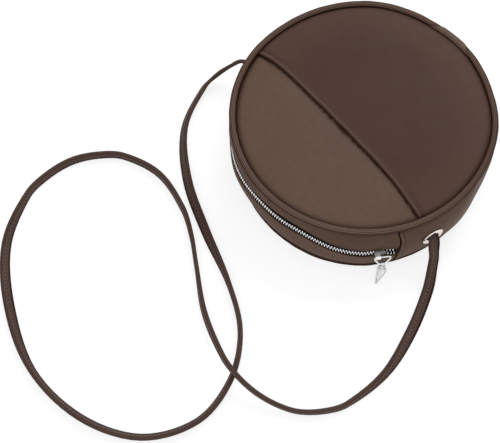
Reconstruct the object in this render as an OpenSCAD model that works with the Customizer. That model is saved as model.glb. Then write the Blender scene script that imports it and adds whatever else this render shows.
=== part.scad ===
// Round crossbody bag, lying on its back as it was set down.
// The origin is the centre of the back on the table, +Z points up through the front panel,
// and the zip faces -Y. Everything is in millimetres.

/* [Bag body] */
// Diameter over the front welt
bag_d = 190; // [170:1:230]
// Diameter over the back welt, which tucks under while the bag lies on it
back_d = 182; // [165:1:225]
// Depth from the table to the top of the front welt
bag_depth = 60; // [54:1:80]
// Rise of the soft front panel from its edge to its middle
front_dome = 4; // [1:0.5:10]
// How far the soft side swells past its seams
side_bulge = 3.8; // [0:0.2:6]

/* [Leather, foam and lining] */
// Thickness of the panel and strip leather
leather_t = 1.2; // [0.8:0.1:1.6]
// Thickness of the plain side, a leather with its backing
base_t = 2; // [1.4:0.1:2.1]
// Thickness of the foam behind the two round panels
foam_t = 1; // [0.5:0.1:2]
// Thickness of the lining cloth
lining_t = 0.5; // [0.3:0.1:0.8]
// Gap left between neighbouring layers
layer_gap = 0.2; // [0.1:0.05:0.3]

/* [Welt] */
// Diameter of the welt over its leather cover
welt_d = 5; // [3:0.5:7]
// Thickness of the welt's leather cover
welt_cover_t = 0.8; // [0.5:0.1:1.2]

/* [Slip pocket] */
// Distance of the pocket's edge from the centre, towards the zip
pocket_line = 24.5; // [5:0.5:35]
// Slant of the pocket's edge, in degrees
pocket_slant = -2.8; // [-6:0.2:6]
// Width of the folded hem along the pocket's edge
hem_w = 6.5; // [4:0.5:12]
// Extra height of the folded hem
hem_t = 0.8; // [0.4:0.1:1.5]
// Thickness of the cloth that lines the pocket
pocket_cloth_t = 0.3; // [0.2:0.1:0.5]

/* [Zip] */
// Height of the zip's middle above the table
zip_z = 28.5; // [26:0.5:34]
// Half of the arc that the zip panel takes, in degrees
zip_half_angle = 61; // [50:1:66]
// Width of the slot between the two leather strips
window_w = 12; // [12:0.5:15]
// Width of one zip tape
tape_w = 12.5; // [10:0.5:14]
// Thickness of the zip tape
tape_t = 0.7; // [0.5:0.1:1]
// Distance from one tooth to the next on the same tape
tooth_pitch = 2.1; // [2:0.1:3]
// Width of a tooth along the zip
tooth_w = 0.9; // [0.6:0.1:1]
// Reach of a tooth from its root to its head
tooth_reach = 3.1; // [2.6:0.1:3.4]
// How far the heads of the two rows pass each other
tooth_lap = 1.4; // [1:0.1:1.6]
// Height of a tooth through the tape
tooth_h = 2; // [1.6:0.1:2.4]
// How far the rows stand off the middle where the slider has parted them
parting = 1.5; // [1.4:0.1:1.6]
// Width of the folded ridge that closes each end of the zip panel
fold_w = 4; // [3:0.5:6]
// Height of that ridge
fold_t = 0.9; // [0.5:0.1:1.4]

/* [Slider and pull] */
// How far the slider stops short of the zip's end, in degrees round the bag
slider_setback = 6.5; // [6:0.5:12]
// Length of the slider
slider_l = 10; // [9:0.5:11]
// Thickness of the slider's plates
plate_t = 1; // [0.8:0.1:1.2]
// Free height between the slider's plates and the teeth
slider_clear = 0.25; // [0.2:0.05:0.4]
// Thickness of the slider's side flanges
flange_w = 0.6; // [0.5:0.1:0.8]
// Length of the bridge that holds the pull ring
bridge_l = 3; // [2.6:0.1:4]
// Height of the ring's bar above the slider's outer plate
bar_height = 2.8; // [2.6:0.1:4]
// Thickness of the pull ring's wire
wire_d = 1.4; // [1:0.1:1.6]
// Length of the ring's straight bar
ring_w = 12.8; // [12:0.2:15]
// Drop from the ring's bar to its lower bar
ring_drop = 11; // [10:0.5:13]
// Length of the ring's lower bar
ring_foot_w = 3.8; // [3.6:0.1:5]
// Radial play between a bar and its bore
bar_play = 0.08; // [0.05:0.01:0.1]
// Length of the pull tag from the ring to its tip
tag_l = 18.5; // [16:0.5:22]
// Width of the pull tag
tag_w = 6.5; // [5:0.5:9]
// Thickness of the pull tag
tag_t = 1.3; // [1:0.1:1.8]

/* [Eyelets] */
// How far past the zip's end each eyelet sits, in degrees round the bag
eyelet_setback = 17; // [14:1:26]
// Height of the eyelets above the table
eyelet_z = 29.5; // [26:0.5:34]
// Hole through the eyelet
eyelet_hole_d = 9; // [9:0.5:10]
// Wall of the eyelet's barrel
barrel_t = 0.6; // [0.4:0.1:0.8]
// Diameter over the eyelet's flange
flange_d = 16.5; // [15:0.5:20]
// Thickness of the eyelet's flange and of its washer
flange_t = 0.9; // [0.6:0.1:1.2]

/* [Strap] */
// Width of the folded strap
strap_w = 8; // [7:0.5:8]
// Thickness of the folded strap
strap_t = 2.6; // [2:0.2:3]
// Diameter of the knot that stops the strap inside the bag
knot_d = 13; // [12:0.5:15]

/* [Hidden] */

// Colours
leather_colour = [0.31, 0.25, 0.21];
welt_colour = [0.28, 0.22, 0.19];
cloth_colour = [0.16, 0.13, 0.12];
foam_colour = [0.75, 0.74, 0.7];
metal_colour = [0.82, 0.82, 0.84];

// Fineness of turned shapes
turn_fn = 120;
// Steps in the outline of the side and of the front
side_steps = 12;
dome_steps = 10;
// One overrun for every cut
cut_over = 1;

// Welts
front_welt_r = bag_d / 2 - welt_d / 2;
back_welt_r = back_d / 2 - welt_d / 2;
front_welt_z = bag_depth - welt_d / 2;
back_welt_z = welt_d / 2;
welt_bore_r = welt_d / 2 - welt_cover_t;
welt_cord_r = welt_bore_r - layer_gap / 2;

// The side runs from the back welt to the front welt
side_bottom_z = welt_d + layer_gap;
side_top_z = bag_depth - welt_d - layer_gap;
side_bottom_r = back_welt_r + leather_t;
side_top_r = front_welt_r;
// Shape of the swell: below 1 it sits lower, above 2 it is fuller towards the seams
belly_power = 0.8;
swell_power = 3;

// Radius of the side's outer face at height z
function side_r(z) =
  let (
    t = (z - side_bottom_z) / (side_top_z - side_bottom_z),
    across = abs(2 * pow(t, belly_power) - 1)
  )
  side_bottom_r + (side_top_r - side_bottom_r) * t + side_bulge * (1 - pow(across, swell_power));

// The front panels are domed inside the front welt
panel_r = front_welt_r - welt_d / 2 - layer_gap;
panel_edge_z = front_welt_z + leather_t;
dome_power = 2.5;
function dome_z(r) = panel_edge_z + front_dome * (1 - pow(r / panel_r, dome_power));

// Depths of the front layers below the domed outer face
pocket_cloth_depth = leather_t + layer_gap / 2;
front_panel_depth = pocket_cloth_depth + pocket_cloth_t + layer_gap;
front_foam_depth = front_panel_depth + leather_t + layer_gap / 2;
front_lining_depth = front_foam_depth + foam_t + layer_gap / 2;

// Depths of the side's layers below its outer face
tape_depth = leather_t + layer_gap / 2;
side_lining_depth = tape_depth + tape_t + layer_gap;
front_lining_r = side_top_r - side_lining_depth - lining_t - layer_gap;

// Back layers, from the table up
back_panel_r = back_welt_r - welt_d / 2 - layer_gap / 2;
back_foam_z = leather_t + layer_gap / 2;
back_lining_z = back_foam_z + foam_t + layer_gap / 2;

// The flap of the front that tips up with the open zip
flap_line = front_welt_r * cos(zip_half_angle + 0.5);
flap_angle = acos(flap_line / front_welt_r);
split_gap = layer_gap * 1.5;
split_angle = split_gap / 2 / front_welt_r * 180 / PI;

// Zip
slider_angle = zip_half_angle - slider_setback;
eyelet_angle = zip_half_angle + eyelet_setback;
zip_r = side_r(zip_z) - tape_depth - tape_t / 2;
strip_half_angle = zip_half_angle - split_angle;
tooth_root = tooth_reach - tooth_lap / 2;
tooth_step = tooth_pitch / zip_r * 180 / PI;
tooth_count = floor(2 * strip_half_angle / tooth_step) - 1;
tape_edge = tooth_root / 2;
// How far the lining keeps back from the edge of the slot
lining_setback = 1;
lining_window_w = window_w + 2 * lining_setback;

// Slider, in its own frame: X outwards, Y along the zip towards its parted end, Z up
channel_h = tooth_h + 2 * slider_clear;
closed_half_w = tooth_root + slider_clear;
parted_half_w = closed_half_w + parting;
// Half of the height that the slider takes between the strips
slider_room = parted_half_w + flange_w + slider_clear;
slider_inner_x = zip_r - channel_h / 2 - plate_t;
slider_outer_x = zip_r + channel_h / 2;
post_half_w = parting - tooth_lap / 2 - slider_clear;
post_l = slider_l / 4;
// Where the slider starts to part the rows and where they are fully parted
ramp_shares = [-0.3, 0.2];
ramp_start = slider_l * ramp_shares[0];
ramp_end = slider_l * ramp_shares[1];
// Width of the plates' blunt nose at the parted end
nose_share = 0.7;
bar_x = slider_outer_x + plate_t + bar_height;
bar_bore_r = wire_d / 2 + bar_play;
bridge_y = -slider_l / 4;
bridge_half_w = bar_bore_r + plate_t;

// Pull ring, in its own plane: along the zip and up from its bar, with the bar clear of
// the bridge by the bend at its near end
bend_r = wire_d * 0.65;
// How much the wire thins in its bends
bend_thin = wire_d / 70;
ring_slope = atan2(ring_drop, (ring_w - ring_foot_w) / 2);
bar_bend = bend_r * tan((180 - ring_slope) / 2);
foot_bend = bend_r * tan(ring_slope / 2);
ring_near = bridge_y - bridge_l / 2 - bar_play - bar_bend;
ring_far = ring_near + ring_w;
ring_middle = ring_near + ring_w / 2;
ring_corners = [
  [ring_near, 0],
  [ring_middle - ring_foot_w / 2, -ring_drop],
  [ring_middle + ring_foot_w / 2, -ring_drop],
  [ring_far, 0]
];
knuckle_r = bar_bore_r + plate_t * 0.9;
knuckle_l = ring_foot_w - 2 * foot_bend - layer_gap;
// The ring hangs, or leans out as far as the tag's knuckle needs to clear the side
knuckle_room = side_r(zip_z - ring_drop) + knuckle_r + layer_gap - bar_x;
ring_lean = asin(max(0, knuckle_room) / ring_drop);
foot_x = bar_x + ring_drop * sin(ring_lean);
foot_z = zip_z - ring_drop * cos(ring_lean);
// The tag leans out until its tip stands on the table
tag_lean = acos(min(1, (foot_z - tag_t / 2) / tag_l));
// Outline of the tag, in shares of its width and of its length
tag_shares = [
  [-0.22, 0], [0.22, 0], [0.46, 0.16], [0.44, 0.36], [0.26, 0.5],
  [-0.62, 0.96], [-0.75, 1], [-0.86, 0.95], [-0.72, 0.6], [-0.56, 0.17]
];

// Eyelets, in their own frame: X square out from the middle of the side's face
flange_r = flange_d / 2;
barrel_r = eyelet_hole_d / 2 + barrel_t;
eyelet_cut_r = barrel_r + layer_gap;
eyelet_x = side_r(eyelet_z);
eyelet_high_x = side_r(eyelet_z + flange_r);
eyelet_low_x = side_r(eyelet_z - flange_r);
eyelet_tilt = atan2(eyelet_high_x - eyelet_low_x, 2 * flange_r);
// How far the curved side falls away under the edge of the flange, along and across the bag
side_sag = max(flange_r * flange_r / 2 / eyelet_x, eyelet_x - (eyelet_high_x + eyelet_low_x) / 2);
washer_x = -side_lining_depth - lining_t - side_sag - flange_t - layer_gap;
flange_x = layer_gap;
knot_x = washer_x - knot_d / 2 - flange_t * 3;

// The strap's way, by hand: x, y, height of its underside, and its roll in degrees
// (0 lies flat, 90 stands on edge)
strap_route = [
  [84, -17.9, 28.8, 0], [94.4, -20.1, 27, 0], [99.1, -24.1, 22.9, 0],
  [102.1, -26.2, 14.2, 0], [104.1, -28.7, 10.5, 4],
  [113, -42.5, 1, 8], [127.5, -74, 0, 18], [137.5, -109, 0, 56], [135.5, -143.5, 0, 72],
  [117.5, -171.5, 0, 80], [87.5, -185, 5, 74], [71.5, -187.5, 9, 70], [53.5, -184.5, 7, 72],
  [18.5, -170, 0.6, 78], [-13, -149.5, 0, 90], [-53, -126.5, 0, 80], [-85, -120.5, 0, 64],
  [-114, -129.5, 0, 56], [-127.5, -143, 0, 52], [-137, -160.5, 0, 48],
  [-140, -181, 0, 52], [-137.5, -202, 0, 56], [-116.5, -238.5, 0, 42], [-78, -267, 0, 24],
  [-30, -287, 0, 54], [19, -284.5, 0, 64], [58, -263.5, 0, 66], [75, -227, 0, 70],
  [68, -190.5, 0, 73], [46.5, -161.5, 0, 84], [15, -143, 0, 80], [-28.5, -126.5, 0, 32],
  [-68, -108.5, 0, 36], [-101, -81.5, 0, 68], [-116.5, -48.5, 1, 78], [-116, -34.5, 5, 80],
  [-111, -25, 14.3, 72], [-104, -20, 22.8, 72], [-94.4, -20.1, 25.1, 75], [-84, -17.9, 25.3, 75]
];
rings_per_step = 2;
// Least height of the strap's underside
table_gap = 0.1;
strap_chamfer = strap_t * 0.28;

// Height of the strap's middle over its underside, when rolled by a
function strap_half(a) = (strap_w * abs(sin(a)) + strap_t * abs(cos(a))) / 2;
function strap_point(k) =
  let (p = strap_route[k])
  [p[0], p[1], max(p[2], table_gap), p[3]];
function span(k) =
  let (a = strap_point(k), b = strap_point(k + 1))
  norm([b[0] - a[0], b[1] - a[1], b[2] - a[2]]);
last_point = len(strap_route) - 1;
// Slope of the route at point k, for a distance of one
function slope(k) =
  k == 0 ? (strap_point(1) - strap_point(0)) / span(0)
  : k == last_point ? (strap_point(k) - strap_point(k - 1)) / span(k - 1)
  : (strap_point(k + 1) - strap_point(k - 1)) / (span(k) + span(k - 1));
// Point on the smooth curve from route point k to the next, at the share t of the way
function on_curve(k, t) =
  let (
    a = strap_point(k),
    b = strap_point(k + 1),
    d = span(k),
    t2 = t * t,
    t3 = t2 * t
  )
  a * (2 * t3 - 3 * t2 + 1) + slope(k) * d * (t3 - 2 * t2 + t)
    + b * (3 * t2 - 2 * t3) + slope(k + 1) * d * (t3 - t2);
strap_rings = [
  for (k = [0 : last_point - 1], i = [0 : rings_per_step - 1]) on_curve(k, i / rings_per_step),
  strap_point(last_point)
];
function ring_centre(i) =
  let (p = strap_rings[i])
  [p[0], p[1], max(p[2], table_gap) + strap_half(p[3])];
// The strap's cross section, a flat bar with cut corners
strap_section = [
  [strap_w / 2, strap_t / 2 - strap_chamfer], [strap_w / 2 - strap_chamfer, strap_t / 2],
  [strap_chamfer - strap_w / 2, strap_t / 2], [-strap_w / 2, strap_t / 2 - strap_chamfer],
  [-strap_w / 2, strap_chamfer - strap_t / 2], [strap_chamfer - strap_w / 2, -strap_t / 2],
  [strap_w / 2 - strap_chamfer, -strap_t / 2], [strap_w / 2, strap_chamfer - strap_t / 2]
];

// Outline of one layer of the side, from height a to b, between two depths below its face
function band_heights(a, b) = [
  a,
  for (i = [1 : side_steps - 1])
    let (z = side_bottom_z + (side_top_z - side_bottom_z) * i / side_steps)
    if (z > a + layer_gap && z < b - layer_gap) z,
  b
];
// The layer runs through the given heights and the radii of the face at them
function layer_outline(zs, rs, outer, inner) =
  let (n = len(zs) - 1)
  concat(
    [for (i = [0 : n]) [rs[i] - outer, zs[i]]],
    [for (i = [n : -1 : 0]) [rs[i] - inner, zs[i]]]
  );

// A layer turned between two angles measured from the zip's middle
module turned_layer(outline, from, to) {
  rotate([0, 0, 270 + from])
    rotate_extrude(angle = to - from, $fn = turn_fn)
      polygon(outline);
}

// A layer of the side, following its swell
module side_band(a, b, outer, inner, from, to) {
  zs = band_heights(a, b);
  turned_layer(layer_outline(zs, [for (z = zs) side_r(z)], outer, inner), from, to);
}

// A zip tape: level beside the teeth, where the slider runs, and following the side under
// its leather strip
module zip_tape(side) {
  edge = zip_z + side * tape_edge;
  level_end = zip_z + side * slider_room;
  window_end = zip_z + side * window_w / 2;
  back = zip_z + side * tape_w;
  zs = side > 0
    ? concat([edge, level_end], band_heights(window_end, back))
    : concat(band_heights(back, window_end), [level_end, edge]);
  rs = [for (z = zs) abs(z - zip_z) < window_w / 2 ? side_r(zip_z) : side_r(z)];
  turned_layer(layer_outline(zs, rs, tape_depth, tape_depth + tape_t),
    -strip_half_angle, strip_half_angle);
}

// A layer of the domed front, from one depth to another below the outer face
module front_layer(top, bottom, edge_r) {
  rotate_extrude($fn = turn_fn)
    polygon(concat(
      [for (i = [0 : dome_steps]) let (r = edge_r * i / dome_steps) [r, dome_z(r) - top]],
      [for (i = [dome_steps : -1 : 0]) let (r = edge_r * i / dome_steps) [r, dome_z(r) - bottom]]
    ));
}

// All of the space on the zip's side of a line across the bag, or on the other side of it
module zip_side(line) {
  translate([-bag_d, -line - 2 * bag_d, -cut_over])
    cube([2 * bag_d, 2 * bag_d, 2 * bag_depth]);
}
module far_side(line) {
  translate([-bag_d, -line, -cut_over])
    cube([2 * bag_d, 2 * bag_d, 2 * bag_depth]);
}

// Sets its children on the side's face: X outwards, Y along the zip, Z up
module on_side(angle) {
  rotate([0, 0, 270 + angle])
    children();
}

// Sets its children at the two eyelets, each in its own frame
module at_eyelets() {
  for (side = [-1, 1])
    on_side(side * eyelet_angle)
      translate([eyelet_x, 0, eyelet_z])
        rotate([0, eyelet_tilt, 0])
          children();
}

// Direction from one point to the next, in degrees
function heading(a, b) = atan2(b[1] - a[1], b[0] - a[0]);
// How far a bend between three points reaches along its two legs
function bend_reach(a, b, c) =
  bend_r * tan(((heading(b, c) - heading(a, b) + 360) % 360) / 2);

// Straight run of wire in the XY plane from b to c, just into the bends at its two ends
module wire_run(a, b, c, d) {
  from = bend_reach(a, b, c) - bend_thin;
  to = norm(c - b) - bend_reach(b, c, d) + bend_thin;
  translate(b)
    rotate([0, 0, heading(b, c)])
      translate([from, 0, 0])
        rotate([0, 90, 0])
          cylinder(d = wire_d, h = to - from, $fn = 32);
}

// Bend of the wire at b, to the left, between the legs from a and to c
module wire_bend(a, b, c) {
  turn = (heading(b, c) - heading(a, b) + 360) % 360;
  translate(b)
    rotate([0, 0, heading(a, b)])
      translate([-bend_reach(a, b, c), bend_r, 0])
        rotate([0, 0, -90])
          rotate_extrude(angle = turn, $fn = 48)
            translate([bend_r, 0])
              circle(d = wire_d - bend_thin, $fn = 32);
}

// An arc of welt: a leather cover, or the cord inside it
module welt_cover(ring_r, z, from, to) {
  rotate([0, 0, 270 + from])
    rotate_extrude(angle = to - from, $fn = turn_fn)
      translate([ring_r, z])
        difference() {
          circle(d = welt_d, $fn = 48);
          circle(r = welt_bore_r, $fn = 48);
        }
}
module welt_cord(ring_r, z, from, to) {
  rotate([0, 0, 270 + from])
    rotate_extrude(angle = to - from, $fn = turn_fn)
      translate([ring_r, z])
        circle(r = welt_cord_r, $fn = 32);
}

// Back of the bag, flat on the table
module back_panel() {
  color(leather_colour)
    cylinder(r = back_panel_r, h = leather_t, $fn = turn_fn);
}
module back_foam() {
  color(foam_colour)
    translate([0, 0, back_foam_z])
      cylinder(r = back_panel_r, h = foam_t, $fn = turn_fn);
}
module back_lining() {
  color(cloth_colour)
    translate([0, 0, back_lining_z])
      cylinder(r = back_panel_r, h = lining_t, $fn = turn_fn);
}
module back_welt() {
  color(welt_colour)
    welt_cover(back_welt_r, back_welt_z, 0, 360);
}
module back_welt_cord() {
  color(foam_colour)
    welt_cord(back_welt_r, back_welt_z, 0, 360);
}

// Holes through the side for the two eyelets
module eyelet_cuts(r) {
  at_eyelets()
    translate([-flange_d, 0, 0])
      rotate([0, 90, 0])
        cylinder(r = r, h = 2 * flange_d, $fn = 64);
}

// Plain part of the side, round the bottom from one end of the zip to the other,
// with the folded ridge at each end
module side_panel() {
  fold_angle = fold_w / side_top_r * 180 / PI;
  color(leather_colour)
    difference() {
      union() {
        side_band(side_bottom_z, side_top_z, 0, base_t,
          zip_half_angle + split_angle, 360 - zip_half_angle - split_angle);
        side_band(side_bottom_z, side_top_z, -fold_t, base_t,
          zip_half_angle + split_angle, zip_half_angle + split_angle + fold_angle);
        side_band(side_bottom_z, side_top_z, -fold_t, base_t,
          360 - zip_half_angle - split_angle - fold_angle, 360 - zip_half_angle - split_angle);
      }
      eyelet_cuts(eyelet_cut_r);
    }
}
module side_lining() {
  color(cloth_colour)
    difference() {
      side_band(side_bottom_z, side_top_z, side_lining_depth, side_lining_depth + lining_t,
        zip_half_angle + split_angle, 360 - zip_half_angle - split_angle);
      eyelet_cuts(eyelet_cut_r);
    }
}

// Zip panel: a leather strip, a lining, a tape and a row of teeth on each side of the zip
module zip_strip_back() {
  color(leather_colour)
    side_band(side_bottom_z, zip_z - window_w / 2, 0, leather_t,
      -strip_half_angle, strip_half_angle);
}
module zip_strip_front() {
  color(leather_colour)
    side_band(zip_z + window_w / 2, side_top_z, 0, leather_t,
      -strip_half_angle, strip_half_angle);
}
module zip_lining_back() {
  color(cloth_colour)
    side_band(side_bottom_z, zip_z - lining_window_w / 2,
      side_lining_depth, side_lining_depth + lining_t, -strip_half_angle, strip_half_angle);
}
module zip_lining_front() {
  color(cloth_colour)
    side_band(zip_z + lining_window_w / 2, side_top_z,
      side_lining_depth, side_lining_depth + lining_t, -strip_half_angle, strip_half_angle);
}
module zip_tape_back() {
  color(cloth_colour)
    zip_tape(-1);
}
module zip_tape_front() {
  color(cloth_colour)
    zip_tape(1);
}

// One tooth, clamped on the tape's edge, with its head pointing down
module tooth() {
  head_w = tooth_w * 0.6;
  translate([zip_r - tooth_h / 2, 0, 0])
    rotate([90, 0, 90])
      linear_extrude(tooth_h)
        polygon([
          [-tooth_w / 2, tooth_root], [-tooth_w / 2, 0], [-head_w / 2, -tooth_lap / 2],
          [head_w / 2, -tooth_lap / 2], [tooth_w / 2, 0], [tooth_w / 2, tooth_root]
        ]);
}

// How far the slider has parted the rows at an angle round the bag
function parted(angle) =
  let (past_slider = (angle - slider_angle) * PI / 180 * zip_r)
  parting * max(0, min(1, (past_slider - ramp_start) / (ramp_end - ramp_start)));

// A row of teeth: side is 1 for the front tape and -1 for the back tape
module tooth_row(side) {
  shift = side > 0 ? 0 : 0.5;
  color(metal_colour)
    for (k = [0 : tooth_count - 1]) {
      angle = (k + shift - (tooth_count - 0.5) / 2) * tooth_step;
      on_side(angle)
        translate([0, 0, zip_z + side * parted(angle)])
          rotate([side > 0 ? 0 : 180, 0, 0])
            tooth();
    }
}
module zip_teeth_front() {
  tooth_row(1);
}
module zip_teeth_back() {
  tooth_row(-1);
}

// Front panel and its layers: the flap is the part that tips up with the open zip,
// and the rest stays
module front_panel() {
  color(leather_colour)
    intersection() {
      front_layer(front_panel_depth, front_panel_depth + leather_t, panel_r);
      far_side(flap_line - split_gap / 2);
    }
}
module front_panel_flap() {
  color(leather_colour)
    intersection() {
      front_layer(front_panel_depth, front_panel_depth + leather_t, panel_r);
      zip_side(flap_line + split_gap / 2);
    }
}
module front_foam() {
  color(foam_colour)
    intersection() {
      front_layer(front_foam_depth, front_foam_depth + foam_t, front_lining_r);
      far_side(flap_line - split_gap / 2);
    }
}
module front_foam_flap() {
  color(foam_colour)
    intersection() {
      front_layer(front_foam_depth, front_foam_depth + foam_t, front_lining_r);
      zip_side(flap_line + split_gap / 2);
    }
}
module front_lining() {
  color(cloth_colour)
    intersection() {
      front_layer(front_lining_depth, front_lining_depth + lining_t, front_lining_r);
      far_side(flap_line - split_gap / 2);
    }
}
module front_lining_flap() {
  color(cloth_colour)
    intersection() {
      front_layer(front_lining_depth, front_lining_depth + lining_t, front_lining_r);
      zip_side(flap_line + split_gap / 2);
    }
}
module front_welt() {
  color(welt_colour)
    welt_cover(front_welt_r, front_welt_z, flap_angle + split_angle, 360 - flap_angle - split_angle);
}
module front_welt_cord() {
  color(foam_colour)
    welt_cord(front_welt_r, front_welt_z, flap_angle + split_angle, 360 - flap_angle - split_angle);
}
module front_welt_flap() {
  color(welt_colour)
    welt_cover(front_welt_r, front_welt_z, split_angle - flap_angle, flap_angle - split_angle);
}
module front_welt_cord_flap() {
  color(foam_colour)
    welt_cord(front_welt_r, front_welt_z, split_angle - flap_angle, flap_angle - split_angle);
}

// Slip pocket: a second leather panel over the lower part of the front, with a folded hem
module pocket_panel() {
  color(leather_colour)
    union() {
      intersection() {
        front_layer(0, leather_t, panel_r);
        rotate([0, 0, pocket_slant])
          far_side(pocket_line);
      }
      intersection() {
        front_layer(-hem_t, leather_t, panel_r);
        rotate([0, 0, pocket_slant])
          far_side(pocket_line);
        rotate([0, 0, pocket_slant])
          zip_side(pocket_line - hem_w);
      }
    }
}
module pocket_lining() {
  color(cloth_colour)
    intersection() {
      front_layer(pocket_cloth_depth, pocket_cloth_depth + pocket_cloth_t, panel_r);
      rotate([0, 0, pocket_slant])
        far_side(pocket_line - hem_w);
    }
}

// Outline of the slider's plates, wider at the parted end, grown by a margin
module slider_outline(margin) {
  polygon([
    [-slider_l / 2, -closed_half_w - margin],
    [ramp_start, -closed_half_w - margin],
    [ramp_end, -parted_half_w - margin],
    [slider_l / 2, -parted_half_w * nose_share],
    [slider_l / 2, parted_half_w * nose_share],
    [ramp_end, parted_half_w + margin],
    [ramp_start, closed_half_w + margin],
    [-slider_l / 2, closed_half_w + margin]
  ]);
}

// Slider: two plates joined by a post, side flanges, and the bridge for the ring's bar
module slider_body() {
  color(metal_colour)
    on_side(slider_angle)
      difference() {
        union() {
          for (x = [slider_inner_x, slider_outer_x])
            translate([x, 0, zip_z])
              rotate([90, 0, 90])
                linear_extrude(plate_t)
                  slider_outline(flange_w);
          // flanges on the outer plate, as far as the rows are fully parted
          translate([slider_outer_x - channel_h / 4, 0, zip_z])
            rotate([90, 0, 90])
              linear_extrude(channel_h / 4)
                difference() {
                  slider_outline(flange_w);
                  slider_outline(0);
                  translate([-slider_l, -closed_half_w])
                    square([2 * slider_l, 2 * closed_half_w]);
                  translate([ramp_end, -2 * parted_half_w])
                    square([slider_l, 4 * parted_half_w]);
                }
          // post between the plates
          translate([slider_inner_x, slider_l / 2 - post_l, zip_z - post_half_w])
            cube([channel_h + 2 * plate_t, post_l, 2 * post_half_w]);
          // bridge
          translate([slider_outer_x, bridge_y - bridge_l / 2, zip_z - bridge_half_w])
            cube([plate_t + bar_height, bridge_l, 2 * bridge_half_w]);
          translate([bar_x, bridge_y - bridge_l / 2, zip_z])
            rotate([-90, 0, 0])
              cylinder(r = bridge_half_w, h = bridge_l, $fn = 48);
        }
        translate([bar_x, bridge_y - bridge_l, zip_z])
          rotate([-90, 0, 0])
            cylinder(r = bar_bore_r, h = 2 * bridge_l, $fn = 48);
      }
}

// Pull ring: one wire bent at four corners
module pull_ring() {
  n = len(ring_corners);
  color(metal_colour)
    on_side(slider_angle)
      translate([bar_x, 0, zip_z])
        rotate([0, -ring_lean, 0])
          rotate([90, 0, 90])
            union() {
              for (k = [0 : n - 1]) {
                a = ring_corners[k];
                b = ring_corners[(k + 1) % n];
                c = ring_corners[(k + 2) % n];
                d = ring_corners[(k + 3) % n];
                wire_bend(a, b, c);
                wire_run(a, b, c, d);
              }
            }
}

// Pull tag: a plain tapered blade on a knuckle round the ring's lower bar
module pull_tag() {
  color(metal_colour)
    on_side(slider_angle)
      translate([foot_x, ring_middle, foot_z])
        rotate([0, -tag_lean, 0])
          difference() {
            union() {
              translate([0, -knuckle_l / 2, 0])
                rotate([-90, 0, 0])
                  cylinder(r = knuckle_r, h = knuckle_l, $fn = 48);
              translate([-tag_t / 2, 0, -knuckle_r * 0.8])
                rotate([90, 0, 90])
                  linear_extrude(tag_t)
                    polygon([
                      for (p = tag_shares)
                        [p[0] * tag_w, -p[1] * (tag_l - knuckle_r * 0.8)]
                    ]);
            }
            translate([0, -ring_foot_w, 0])
              rotate([-90, 0, 0])
                cylinder(r = bar_bore_r, h = 2 * ring_foot_w, $fn = 48);
          }
}

// Eyelets: a flange outside with the barrel that goes through, and a washer inside
module eyelets() {
  color(metal_colour)
    at_eyelets()
      translate([flange_x, 0, 0])
        rotate([0, 90, 0])
          rotate_extrude($fn = 96)
            polygon([
              [eyelet_hole_d / 2, washer_x - flange_x - flange_t],
              [barrel_r, washer_x - flange_x - flange_t],
              [barrel_r, 0],
              [flange_r, 0],
              [flange_r, flange_t * 0.4],
              [flange_r - flange_t, flange_t],
              [barrel_r, flange_t],
              [eyelet_hole_d / 2, flange_t * 0.4]
            ]);
}
module eyelet_washers() {
  color(metal_colour)
    at_eyelets()
      translate([washer_x, 0, 0])
        rotate([0, 90, 0])
          rotate_extrude($fn = 96)
            polygon([
              [barrel_r + layer_gap / 4, 0],
              [flange_r, 0],
              [flange_r, flange_t],
              [barrel_r + layer_gap / 4, flange_t]
            ]);
}

// Strap: one closed tube swept along its route
module strap() {
  n = len(strap_rings);
  m = len(strap_section);
  points = [
    for (i = [0 : n - 1])
      let (
        c = ring_centre(i),
        ahead = ring_centre(min(i + 1, n - 1)),
        behind = ring_centre(max(i - 1, 0)),
        along = (ahead - behind) / norm(ahead - behind),
        level = cross(along, [0, 0, 1]),
        side = level / norm(level),
        up = cross(side, along),
        a = strap_rings[i][3]
      )
      for (q = strap_section)
        c + (side * cos(a) + up * sin(a)) * q[0] + (up * cos(a) - side * sin(a)) * q[1]
  ];
  walls = [
    for (i = [0 : n - 2], j = [0 : m - 1])
      let (a = i * m + j, b = i * m + (j + 1) % m)
      each [[a, a + m, b], [b, a + m, b + m]]
  ];
  start = [[for (j = [0 : m - 1]) j]];
  end = [[for (j = [m - 1 : -1 : 0]) (n - 1) * m + j]];
  color(leather_colour)
    polyhedron(points = points, faces = concat(walls, start, end));
}

// Knots that keep the strap's ends from slipping out of the eyelets
module strap_knots() {
  color(leather_colour)
    at_eyelets()
      translate([knot_x, 0, 0])
        sphere(d = knot_d, $fn = 48);
}

back_panel();
back_foam();
back_lining();
back_welt();
back_welt_cord();
side_panel();
side_lining();
zip_strip_back();
zip_lining_back();
zip_tape_back();
zip_teeth_back();
zip_strip_front();
zip_lining_front();
zip_tape_front();
zip_teeth_front();
front_panel();
front_foam();
front_lining();
front_welt();
front_welt_cord();
front_panel_flap();
front_foam_flap();
front_lining_flap();
front_welt_flap();
front_welt_cord_flap();
pocket_panel();
pocket_lining();
slider_body();
pull_ring();
pull_tag();
eyelets();
eyelet_washers();
strap();
strap_knots();
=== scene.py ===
import math

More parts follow.
